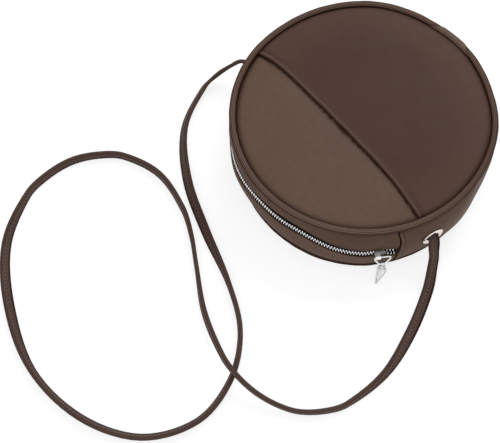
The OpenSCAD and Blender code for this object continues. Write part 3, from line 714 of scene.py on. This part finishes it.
def make_pocket_leather(columns=150, rows=44):
    """Pocket panel: each cross section starts in the folded lip and ends in the seam of the welt."""
    right, left = math.radians(-18.9), math.radians(193.2)
    u = np.linspace(0.004, 0.996, columns)
    theta = right + (left - right) * u
    rim = np.stack([89.9 * np.cos(theta), 89.9 * np.sin(theta)], axis=1)
    x = POCKET_RIGHT + (POCKET_LEFT - POCKET_RIGHT) * (0.5 - 0.5 * np.cos(math.pi * u))
    lip = np.stack([x, through(POCKET_EDGE, x)], axis=1)
    reach = np.linalg.norm(rim - lip, axis=1)[:, None]
    size = np.minimum(1, reach / 14)
    wave = 1 + 0.14 * np.sin(x / 4.3) + 0.1 * np.sin(x / 2.1 + 1)
    away, rise = np.array(LIP_FOLD).T
    start = away[-1] * size
    t = np.linspace(0, 1, rows + 1)[1:]
    plain = start + (reach - start) * (1 - (1 - t) ** 1.6)
    from_lip = np.concatenate([away * size, plain, plain[:, ::-1]], axis=1)
    flat = lip[:, None] + unit(rim - lip)[:, None] * from_lip[..., None]
    r = np.hypot(flat[..., 0], flat[..., 1])
    base = dome(r) - 1.5 * step(r, 86.8, 90.3) ** 1.4
    hem, over, under = np.split(base, [len(away), len(away) + rows], axis=1)
    hem = hem + rise * size * np.where(rise > 0, wave[:, None], 1)
    over = over + 0.2 * np.sin(flat[:, len(away):len(away) + rows, 0] / 21) * np.sin(plain / 19)
    z = np.concatenate([hem, over, under - 1.2], axis=1)
    # Painted shade inside the fold and towards the seam, a painted highlight on the crest of the lip
    painted_shade = 0.8 * step(r, 88.7, 89.7) + 0.15 * step(r, 84.5, 89)
    painted_shade[:, :7] = 0.95
    painted_shade[:, 7] = 0.6
    # Painted sheen over the panel, paler towards its rim
    painted_light = 0.12 * step(r, 50, 88)
    painted_light[:, :len(away)] = 0.78 * hump(away, 1.72, 0.28) * (rise > 0.2)
    rings = np.concatenate([flat, z[..., None]], axis=2)
    return lofted("pocket_leather", rings, {"painted_shade": np.clip(painted_shade, 0, 1), "painted_light": painted_light})


def make_pocket_cloth(columns=90, rows=20):
    """The thin cloth behind the pocket panel."""
    theta = np.linspace(math.radians(-13.5), math.radians(188), columns)
    rim = np.stack([89 * np.cos(theta), 89 * np.sin(theta)], axis=1)
    share = 0.5 - 0.5 * np.cos(math.pi * np.linspace(0, 1, columns))
    near = rim[0] + (rim[-1] - rim[0]) * share[:, None]
    flat = near[:, None] + (rim - near)[:, None] * np.linspace(0, 1, rows)[None, :, None]
    height = dome(np.hypot(flat[..., 0], flat[..., 1]))[..., None]
    over = np.concatenate([flat, height - 1.32], axis=2)
    under = np.concatenate([flat, height - 1.56], axis=2)[:, ::-1]
    rings = np.concatenate([over, under], axis=1)[1:-1]
    marks = {"along": rings[..., 0] * MM, "across": rings[..., 1] * MM}
    return lofted("pocket_cloth", rings, marks)


def plain_layer(name, rim, top, thick, ripple=0.0):
    def over(r, angle):
        return top(r) + ripple * np.sin(np.radians(angle) * 9 + r / 7) * step(r, 5, 30)

    return round_layer(name, fine_to_rim(rim, 24), over, lambda r, angle: over(r, angle) - thick, 140)


def under_front(rim, depth):
    """Heights some depth under the front's face, and deeper towards the rim."""
    return lambda r: dome(r) - depth - 2.2 * step(r, 83, rim)


def cloth_marks(obj):
    """Threads laid straight over a round cloth: along x and across y."""
    points = np.array([v.co for v in obj.data.vertices])
    mark_points(obj.data, {"along": points[:, 0], "across": points[:, 1]})
    return obj


dressed(make_front_leather(), PANEL_LEATHER, "panel_leather", "front", "front_panel", "front_panel_flap")
dressed(make_pocket_leather(), POCKET_LEATHER, "panel_leather", "bag", "pocket_panel")
dressed(make_pocket_cloth(), LINING_CLOTH, "lining_cloth", "bag", "pocket_lining")
front_foam = plain_layer("front_padding", 88.6, under_front(88.6, 3.2), 0.85)
dressed(front_foam, FOAM, "foam", "front", "front_foam", "front_foam_flap")
front_cloth = cloth_marks(plain_layer("front_cloth", 88.4, under_front(88.4, 4.2), 0.4, 0.04))
dressed(front_cloth, LINING_CLOTH, "lining_cloth", "front", "front_lining", "front_lining_flap")


# Back: leather on the table, foam and lining over it
def make_back_leather():
    def top(r, angle):
        return 1.25 + 0.75 * step(r, 85.6, 86.8)

    def bottom(r, angle):
        pucker = 0.025 * np.sin(np.radians(angle) * 40) * step(r, 76, 84)
        lift = 0.45 * step(r, 81, 85) + 0.7 * step(r, 85.2, 86.8)
        return 0.06 + lift + pucker + 0.05 * (1 + np.sin(r / 13))

    # Painted shade along the seam at the rim
    def painted_shade(at):
        return 0.9 * step(np.hypot(at[..., 0], at[..., 1]), 84, 85.6)

    radii = np.append(fine_to_rim(85.6, 34), [86.1, 86.5, 86.9])
    return round_layer("back_leather", radii, top, bottom, 200, {"painted_shade": painted_shade})


dressed(make_back_leather(), PANEL_LEATHER, "panel_leather", "bag", "back_panel")
back_foam = plain_layer("back_padding", 85.6, lambda r: 2.28, 0.9)
dressed(back_foam, FOAM, "foam", "bag", "back_foam")
back_cloth = cloth_marks(plain_layer("back_cloth", 85.6, lambda r: 2.85, 0.45, 0.04))
dressed(back_cloth, LINING_CLOTH, "lining_cloth", "bag", "back_lining")


# Welts
def hoop(name, ring_r, ring_z, angle, turn, radius, marks=None):
    """A tube round the bag, kept off the table."""
    height = np.maximum(ring_z + radius * np.sin(np.radians(turn)), 0.06)
    rings = turned(ring_r + radius * np.cos(np.radians(turn)), angle, height)
    return lofted(name, rings, marks, closed_path=True)


def make_welt(name, ring_r, ring_z, seam_ridges, joint_at, painted_dark=0.0):
    """Piping: leather drawn over a cord, with the fine ridges of its seams and a lapped joint."""
    angle = np.linspace(0, 360, 360, endpoint=False)[:, None]
    turn = np.linspace(0, 360, 60, endpoint=False)[None]
    lines = sum(hump(turn, ridge, 6) for ridge in seam_ridges)
    grooves = sum(hump(turn, ridge + 13, 6) for ridge in seam_ridges)
    away = (angle - joint_at + 180) % 360 - 180
    first, last = away + (turn - 90) * 0.03, away - (turn - 90) * 0.04
    lap = step(first, -8.6, -8) * (1 - step(last, 8, 8.6))
    uneven = 0.04 * np.sin(np.radians(angle * 31)) + 0.03 * np.sin(np.radians(angle * 53 + turn * 2))
    radius = WELT_R - 0.21 + uneven + 0.12 * (lines - grooves) + 0.45 * lap
    # Painted shade at its two seams, and on its outer side the further it is from the slider
    far = 0.5 - 0.5 * np.cos(np.radians(angle - 47))
    painted_shade = 0.7 * hump(turn, 178, 30) + 0.75 * hump(turn, 300, 36) + 0.4 * hump(turn, 10, 20)
    painted_shade = painted_shade + 0.35 * grooves + far * (1 - step(turn, 56, 84)) + painted_dark
    # Painted shade along both ends of the lap
    joint_lines = np.maximum(hump(first, -8.7, 0.6), hump(last, 8.9, 0.7))
    painted_shade = np.maximum(painted_shade * (1 - 0.5 * lap), joint_lines)
    # Painted highlights on the seam ridges and over the lap, fainter in places
    painted_light = 1.2 * lines * (1 - 0.35 * far) * (1 - 0.5 * hump(angle, 120, 45))
    painted_light = painted_light * (1 + 0.7 * lap) + 0.22 * lap
    marks = {"painted_shade": np.clip(painted_shade, 0, 1), "painted_light": np.clip(painted_light, 0, 1)}
    return hoop(name, ring_r, ring_z, angle, turn, radius, marks)


def make_welt_cord(name, ring_r, ring_z):
    """The cord inside a welt, three strands laid together."""
    angle = np.linspace(0, 360, 420, endpoint=False)[:, None]
    turn = np.linspace(0, 360, 16, endpoint=False)[None]
    radius = 1.42 + 0.12 * np.abs(np.cos(np.radians(1.5 * turn + angle * 60)))
    return hoop(name, ring_r, ring_z, angle, turn, radius)


front_welt = make_welt("front_piping", *FRONT_WELT, seam_ridges=(50, 81, 113, 146), joint_at=181)
dressed(front_welt, WELT_LEATHER, "welt_leather", "front", "front_welt", "front_welt_flap")
front_cord = make_welt_cord("front_piping_cord", *FRONT_WELT)
dressed(front_cord, CORD_THREAD, "welt_cord", "front", "front_welt_cord", "front_welt_cord_flap")
# The back piping takes extra painted shade all round
back_welt = make_welt("back_piping", *BACK_WELT, seam_ridges=(250, 300), joint_at=170, painted_dark=0.35)
dressed(back_welt, WELT_LEATHER, "welt_leather", "bag", "back_welt")
back_cord = make_welt_cord("back_piping_cord", *BACK_WELT)
dressed(back_cord, CORD_THREAD, "welt_cord", "bag", "back_welt_cord")


# Side: plain leather from one end of the zip to the other, round the bottom
def make_side_leather():
    from_end, to_end = ZIP_END + 0.4, 360 - ZIP_END - 0.4
    mm = math.degrees(1 / 94.9)
    near = from_end + mm * np.array([0, 0.12, 0.3, 0.6, 1, 1.5, 2, 2.4, 2.7, 3, 3.3, 3.7, 4.2, 5, 6])
    middle = np.linspace(from_end + 7 * mm, to_end - 7 * mm, 230)
    angle = np.concatenate([near, middle, 360 - near[::-1]])
    from_zip = np.minimum(angle - from_end, to_end - angle) / mm
    # The folded ridge at each end, where the zip panel is sewn in
    ridge = 0.95 * np.sqrt(np.clip(1 - ((from_zip - 1.35) / 1.4) ** 2, 0, 1))
    ridge = ridge - 0.22 * hump(from_zip, 3.1, 0.4) - 0.9 * (1 - step(from_zip, 0, 0.3))
    near_seam = [49.4, 49.8, 50.1, 50.4, 50.7, 51, 51.4, 51.9, 52.4, 53, 53.8, 54.4, 54.75, 55.0]
    outer_z = np.concatenate([[5.0, 5.25, 5.6, 6.2], np.linspace(7.2, 48.8, 34), near_seam])
    tuck = 1.3 * (1 - step(outer_z, 4.9, 6.2)) + 1.5 * step(outer_z, 53.6, 55.2)
    inner_z = np.concatenate([[54.6], np.linspace(53, 7, 20), [5.4]])
    round_bag = wrapped(angle)[:, None]
    outer = side_at(round_bag, outer_z[None], tuck[None] - ridge[:, None])
    inner = side_at(round_bag, inner_z[None], 1.9)
    # Painted shade at the foot, at the seam of the welt, on a fine line under it and beside the ridges
    foot_and_seam = 0.85 * (1 - step(outer_z, 5.5, 9.5)) + 0.9 * step(outer_z, 51.9, 53.2)
    round_lines = np.maximum(foot_and_seam, 0.55 * hump(outer_z, 50.5, 0.4))
    end_lines = 0.95 * (1 - step(from_zip, 0.1, 0.7)) + 0.55 * hump(from_zip, 3, 0.4)
    painted_dark = np.maximum(round_lines[None], end_lines[:, None])
    # Painted highlights on the ridges, along the line and past the right eyelet
    zip_half = 1 - step(np.minimum(angle, 360 - angle), 115, 140)
    painted_light = 0.45 * hump(from_zip, 1.7, 0.6)[:, None] + 0.4 * hump(outer_z, 49.8, 0.4)[None]
    # Painted light thrown up from the table, low down on the zip's half
    painted_light = painted_light + zip_half[:, None] * 0.3 * (1 - step(outer_z, 22, 34))[None]
    painted_light = painted_light + 0.25 * hump(angle, 97, 12)[:, None] * hump(outer_z, 27, 12)[None]
    inside = np.zeros(inner.shape[:2])
    marks = {"painted_shade": np.hstack([painted_dark, inside]), "painted_light": np.hstack([painted_light, inside])}
    return layer("side_leather", outer, inner, marks)


def cut_eyelet_holes(obj):
    """Opens the two round holes that the eyelets go through."""
    for side in (-1, 1):
        at = Vector(turned(93, side * EYELET_AT, EYELET_Z)) * MM
        direction = Vector((at.x, at.y, 0)).normalized()
        radius = EYELET_CUT_R * MM
        bpy.ops.mesh.primitive_cylinder_add(vertices=64, radius=radius, depth=0.02, location=at)
        cutter = bpy.context.object
        cutter.rotation_mode = "QUATERNION"
        cutter.rotation_quaternion = direction.to_track_quat("Z", "Y")
        change = obj.modifiers.new("hole", "BOOLEAN")
        change.object, change.solver = cutter, "EXACT"
        bpy.context.view_layer.objects.active = obj
        bpy.ops.object.modifier_apply(modifier="hole")
        bpy.data.objects.remove(cutter)
    return obj


def make_side_cloth():
    angle = np.linspace(ZIP_END + 0.3, 360 - ZIP_END - 0.3, 200)
    rows = np.linspace(5.4, 54.4, 26)
    round_bag = wrapped(angle)[:, None]
    outer = side_at(round_bag, rows[None], 2.25)
    inner = side_at(round_bag, rows[::-1][None], 2.65)
    across = np.concatenate([rows, rows[::-1]])[None] * MM
    marks = {"along": np.radians(angle)[:, None] * 0.092, "across": across}
    return layer("side_cloth", outer, inner, marks)


side_leather = cut_eyelet_holes(make_side_leather())
dressed(side_leather, SIDE_LEATHER, "panel_leather", "bag", "side_panel")
side_cloth = cut_eyelet_holes(make_side_cloth())
dressed(side_cloth, LINING_CLOTH, "lining_cloth", "bag", "side_lining")


# Zip panel
def make_zip_strip(name, edges, sign, seam_z):
    """A leather strip beside the zip: folded in at the zip and tucked in at the seam of the welt."""
    upper = sign > 0
    angle = np.linspace(-ZIP_END, ZIP_END, 200)[:, None]
    edge = ZIP_Z + sign * through(edges, angle)
    share = np.array(STRIP_ROWS)
    rows = len(share)
    outer_z = edge + (seam_z - edge) * share[None]
    depth = np.zeros(rows)
    depth[:4] = [0.75, 0.4, 0.17, 0.03] if upper else [0.7, 0.36, 0.15, 0.03]
    depth[-5:] = [0.05, 0.18, 0.45, 0.9, 1.6]
    outer = side_at(angle, outer_z, depth[None])
    inner = side_at(angle, outer_z[:, ::-1], 1.18)
    painted_shade, painted_light = np.zeros(2 * rows), np.zeros(2 * rows)
    # Painted shade where the strip tucks into the seam of the welt and along its folded edge
    painted_shade[rows - 5:rows] = [0.5, 0.9, 0.95, 1, 1] if upper else [0.1, 0.3, 0.6, 0.9, 1]
    painted_shade[:6] = [0.5, 0.1, 0, 0.1, 0.4, 0.1] if upper else [0.6, 0.3, 0, 0, 0, 0]
    # A painted highlight on the folded edge, and on the lower strip painted light thrown up from the
    # table
    painted_light[:4] = [0.2, 1, 1, 0.3] if upper else [0, 0.3, 0.5, 0.3]
    painted_light[4:13] = 0 if upper else 0.36
    marks = {"painted_shade": painted_shade[None], "painted_light": painted_light[None]}
    return layer(name, outer, inner, marks)


def zip_rise(angle):
    """The zip stands out a little where the bag turns away."""
    return 0.4 * between(angle, -42, -30, -30, -14)


def make_zip_layer(name, near, far, depth, thick):
    """A tape or lining beside the zip, between two distances from its middle."""
    angle = np.linspace(-ZIP_END, ZIP_END, 160)[:, None]
    away = np.linspace(near, far, 14)
    outer = side_at(angle, ZIP_Z + away[None], depth)
    height = outer[..., 2]
    # Upright beside the teeth, and along the side's own face further off
    upright_r = np.linalg.norm(side_at(angle, ZIP_Z, depth)[..., :2], axis=2) + zip_rise(angle)
    face_r = np.linalg.norm(outer[..., :2], axis=2)
    off = step(np.abs(away), 4.8, 6.2)[None]
    r = upright_r * (1 - off) + face_r * off
    across = np.concatenate([away, away[::-1]])[None] * MM
    marks = {"along": np.radians(angle) * ZIP_R * MM, "across": across}
    return layer(name, turned(r, angle, height), turned(r - thick, angle, height)[:, ::-1], marks)


def tooth_shape():
    """One tooth: a broad clamp on the tape's edge, narrowing to a round head. X along, Y up, Z out."""
    half = [(0.14, -0.6), (0.27, -0.3), (0.32, 0.3), (0.4, 0.9), (0.45, 1.6), (0.42, 2.35), (0.28, 2.55)]
    outline = [(-x, y) for x, y in half[::-1]] + half
    layers = [(-0.7, 0.8), (-0.5, 1), (0.3, 1), (0.55, 0.92), (0.72, 0.75), (0.8, 0.4)]
    points = []
    for z, size in layers:
        points += [(x * size, 1.6 + (y - 1.6) * (size * 0.5 + 0.5), z) for x, y in outline]
    m, last = len(outline), len(points) - 1
    faces = [tuple(range(m)), tuple(range(last, last - m, -1))]
    faces += [(b, a, d, c) for a, b, c, d in strips(len(layers), m, True, False)]
    return np.array(points), faces


def make_teeth(name, sign):
    pitch = math.degrees(TOOTH_PITCH / ZIP_R)
    first = (0 if sign > 0 else 0.5) - (TEETH - 0.5) / 2
    places = []
    for k in range(TEETH):
        angle = (k + first) * pitch
        at = side_at(angle, ZIP_Z, TAPE_DEPTH + TAPE_T / 2 - zip_rise(angle))
        at = at + np.array([0, 0, sign * float(parted(angle))])
        along, out = turned(1, angle + 90, 0), turned(1, angle, 0)
        places.append((at, along * sign, np.array([0, 0, sign]), out))
    return many(name, *tooth_shape(), places, sharp=50)


# Each half: its body, its side in the CAD's names, its direction from the zip's middle, the edge and
# the seam of its strip, and how far its lining reaches
for half, body, side, sign, edges, seam_z, reach in (
    ("upper", "front", "front", 1, UPPER_EDGE, 55, 26),
    ("lower", "bag", "back", -1, LOWER_EDGE, 5, 23),
):
    strip = make_zip_strip(half + "_zip_strip", edges, sign, seam_z)
    tape = make_zip_layer(half + "_zip_tape", sign * 1.2, sign * 12.5, TAPE_DEPTH, TAPE_T)
    lining = make_zip_layer(half + "_strip_cloth", sign * 7.2, sign * reach, LINING_DEPTH, LINING_T)
    dressed(strip, SIDE_LEATHER, "panel_leather", body, "zip_strip_" + side)
    dressed(tape, TAPE_CLOTH, "zip_tape", body, "zip_tape_" + side)
    dressed(lining, LINING_CLOTH, "lining_cloth", body, "zip_lining_" + side)
    dressed(make_teeth(half + "_teeth", sign), TEETH_METAL, "zip_metal", body, "zip_teeth_" + side)


# Slider, ring and tag, in the slider's own frame: out from the bag, along the zip and up
RING_BAR = (98.21, 28.5)
RING_WAY = [
    (-3, 28.5), (-0.5, 28.5), (2.2, 28.5), (4.7, 28.5), (6, 27.8), (6.3, 26.2), (5.8, 23.8),
    (4.6, 20.9), (3.2, 18.5), (1.9, 17.5), (0, 17.5), (-1.4, 18.5), (-2.8, 20.9), (-4, 23.8),
    (-4.6, 26.2), (-4.3, 27.8),
]
TAG_AT, TAG_LEAN = (98.21, 0.96, 17.5), 24.4
# Outline of the tag: along the zip and down from its knuckle
TAG_OUTLINE = [
    (-1.3, 1.7), (1.3, 1.7), (2.5, 3.2), (2.95, 5.2), (2.75, 7.6), (1.8, 10), (-0.2, 12.9), (-3.6, 17.4),
    (-4.8, 18.4), (-5.45, 17.6), (-5.3, 15), (-4.8, 11.6), (-4.2, 7.6), (-3.5, 4.2), (-2.5, 2.5),
]
TAG_RIDGE = [(-0.3, 4.8), (-4.6, 16.4)]
# Lines round the tag, the last on the ridge: height over its middle, distance in from its edge and
# painted shade.
TAG_LINES = [
    (-0.65, 0.2, 0.2), (-0.5, 0, 0.4), (0.3, 0, 0.15), (0.58, 0.2, 0), (0.6, 0.55, 0), (0.56, 0.7, 0.15),
    (0.38, 0.85, 0.7), (0.38, 0.95, 0.5), (0.42, 1.2, 0.05), (0.47, 1.7, 0), (0.68, None, 0),
]


def at_slider(points):
    turn = np.array([turned(1, SLIDER_AT, 0), turned(1, SLIDER_AT + 90, 0), (0, 0, 1)])
    return points @ turn


def at_tag(points):
    """From the tag's own frame: out of its face, along the zip and up its length."""
    a = math.radians(TAG_LEAN)
    turn = np.array([(math.cos(a), 0, math.sin(a)), (0, 1, 0), (-math.sin(a), 0, math.cos(a))])
    return at_slider(points @ turn + TAG_AT)


def extruded(outline, low, high):
    """A prism: its outline in the second and third directions, from low to high in the first."""
    m = len(outline)
    points = np.array([(x, y, z) for x in (low, high) for y, z in outline], float)
    ends = [tuple(range(m - 1, -1, -1)), tuple(range(m, 2 * m))]
    return points, ends + strips(2, m, True, False)


def bent_band(reach, radius, bore):
    """Section of a band that goes round a bar and back, with two legs."""
    turn = np.radians(np.linspace(-90, 90, 15))
    outer = [(radius * math.cos(a), radius * math.sin(a)) for a in turn]
    inner = [(bore * math.cos(a), bore * math.sin(a)) for a in turn[::-1]]
    return [(-reach, -radius)] + outer + [(-reach, radius), (-reach, bore)] + inner + [(-reach, -bore)]


def joined(name, parts):
    """One mesh of several: each part is its points, its faces and how much painted shade it takes."""
    points, faces, dull = [], [], []
    for more, more_faces, shade_level in parts:
        start = len(points)
        points.extend(more.tolist())
        # Each part's painted shade, the same at all its points
        dull.extend([shade_level] * len(more))
        faces.extend(tuple(start + k for k in f) for f in more_faces)
    return piece(name, points, faces, {"painted_shade": dull}, firm=True)


def soften(obj, width):
    """Rounds the edges of a metal piece."""
    change = obj.modifiers.new("soft_edges", "BEVEL")
    change.width, change.segments, change.limit_method = width * MM, 3, "ANGLE"
    change.angle_limit, change.harden_normals = math.radians(50), True
    return obj


def make_slider():
    def outline(back, nose, closed, parted_w, nose_w):
        half = [(back, -closed), (-3, -closed), (2, -parted_w), (nose, -nose_w)]
        return [(y, ZIP_Z + z) for y, z in half + [(y, -z) for y, z in half[::-1]]]

    inner_plate = extruded(outline(-4.9, 4.9, 2.9, 4.4, 3.2), 90.95, 91.8)
    outer_plate = extruded(outline(-4.9, 3.9, 2.5, 3.4, 2.2), 94.45, 95.2)
    post = extruded([(2.6, 27.7), (4.8, 27.9), (4.8, 29.1), (2.6, 29.3)], 91, 94.9)
    rails = []
    for side in (1, -1):
        rail = [(-4.6, side * 2.5), (1.2, side * 3.3), (1.2, side * 3.8), (-4.6, side * 3.1)]
        rail = [(y, ZIP_Z + z) for y, z in rail[::side]]
        rails.append(extruded(rail, 93.7, 94.9))
    band, band_faces = extruded(bent_band(3.1, 1.75, 0.82), 0.8, 4.2)
    band = np.column_stack([band[:, 1] + RING_BAR[0], -band[:, 0], band[:, 2] + RING_BAR[1]])
    # The plates, post and rails take full painted shade; the band round the ring's bar takes none
    body = [(at_slider(points), faces, 1) for points, faces in (inner_plate, outer_plate, post, *rails)]
    return joined("slider", [*body, (at_slider(band), band_faces, 0)])


def make_ring():
    """The pull ring: a wire, straight through the slider's bridge and round below it."""
    y, z = closed_curve(RING_WAY, 96)
    ahead = unit(np.stack([np.roll(y, -1) - np.roll(y, 1), np.roll(z, -1) - np.roll(z, 1)], axis=1))
    a = np.linspace(0, 2 * math.pi, 16, endpoint=False)
    width = (0.68 + 0.12 * (1 - step(z, 26, 28)) * step(z, 18, 20))[:, None]
    rings = np.stack([
        RING_BAR[0] + width * np.cos(a),
        y[:, None] - ahead[:, 1:] * width * np.sin(a),
        z[:, None] + ahead[:, :1] * width * np.sin(a),
    ], axis=-1)
    return lofted("pull_ring_wire", at_slider(rings), closed_path=True, firm=True)


def make_tag():
    """A plain tapered tag: a raised rim, a groove inside it and a low ridge down its middle."""
    edge = closed_curve(TAG_OUTLINE, 75).T
    start, end = np.array(TAG_RIDGE)
    share = np.clip((edge - start) @ (end - start) / np.sum((end - start) ** 2), 0, 1)
    inner = start + share[:, None] * (end - start)
    reach = np.linalg.norm(inner - edge, axis=1)[:, None]
    rings, painted_dark = [], []
    for height, inset, groove in TAG_LINES:
        flat = edge + (inner - edge) * (0.95 if inset is None else np.minimum(inset / reach, 0.9))
        rings.append(np.column_stack([np.full(len(flat), height), flat[:, 0], -flat[:, 1]]))
        # Painted shade along each line: in the groove and down the tag's edge
        painted_dark.append(np.full(len(flat), groove))
    marks = {"painted_shade": np.array(painted_dark)}
    blade = lofted("pull_tag_blade", at_tag(np.array(rings)), marks, sharp=25, firm=True)
    points, faces = extruded(bent_band(2.3, 1.5, 0.9), -1, 1)
    points = at_tag(np.column_stack([points[:, 2], points[:, 0], points[:, 1]]))
    # The knuckle takes a little painted shade
    return blade, joined("pull_tag_knuckle", [(points, faces, 0.1)])


slider = soften(make_slider(), 0.25)
dressed(slider, TEETH_METAL, "zip_metal", "slider", "slider_body")
dressed(make_ring(), ZIP_METAL, "zip_metal", "ring", "pull_ring")
tag_blade, tag_knuckle = make_tag()
dressed(tag_blade, ZIP_METAL, "zip_metal", "tag", "pull_tag")
dressed(soften(tag_knuckle, 0.2), ZIP_METAL, "zip_metal", "tag")

# The eyelets keep their solid shape
for node in ("eyelets", "eyelet_washers"):
    EYELET_METAL.wear(soften(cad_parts[node], 0.15))


# Table, light and background
def make_table():
    half = 4.0
    corners = [(-half, -half, 0), (half, -half, 0), (half, half, 0), (-half, half, 0)]
    table = piece("table", np.array(corners) / MM, [(0, 1, 2, 3)])
    table.location.z = -0.0002
    finish = Finish("table_white", Roughness=0.9, Specular_IOR_Level=0.0)
    base = finish.mix(finish.noise(40, 3) * 0.2, shade(243, 243, 245), shade(236, 236, 239))
    finish.feed(finish.shader, {"Base Color": base})
    # Where the camera and the metal look, the table is nearly plain white and still keeps its shadows
    glow = finish.value("ShaderNodeEmission", {}, {"Color": (1, 1, 1, 1), "Strength": 0.73})
    faint = finish.value("ShaderNodeBsdfDiffuse", {}, {"Color": shade(168, 168, 170)})
    plain = finish.value("ShaderNodeAddShader", {}, {0: faint, 1: glow})
    finish.show_instead(finish.seen(), plain)
    finish.wear(table)


def make_lamp(name, at, towards, size, power):
    data = bpy.data.lights.new(name, "AREA")
    data.shape, data.size, data.energy = "DISK", size, power
    aimed(name, data, at, towards)


def make_sky():
    """White where the camera and the metal look, and a softer white as light on the bag."""
    world = bpy.data.worlds.new("sky")
    bpy.context.scene.world = world
    world.use_nodes = True
    nodes = Nodes(world.node_tree)
    levels = {"Value": nodes.seen(), "To Min": 0.62, "To Max": 1.0}
    strength = nodes.value("ShaderNodeMapRange", {}, levels)
    nodes.feed(nodes.tree.nodes["Background"], {"Color": (1, 1, 1, 1), "Strength": strength})


make_table()
make_sky()
make_lamp("window_lamp", (-0.35, 0.95, 1.25), (0, -0.05, 0), 1.1, 11)
make_lamp("front_lamp", (0.55, -0.9, 1.3), (0, -0.1, 0), 1.0, 4.5)

bpy.context.scene.view_settings.view_transform = "Standard"
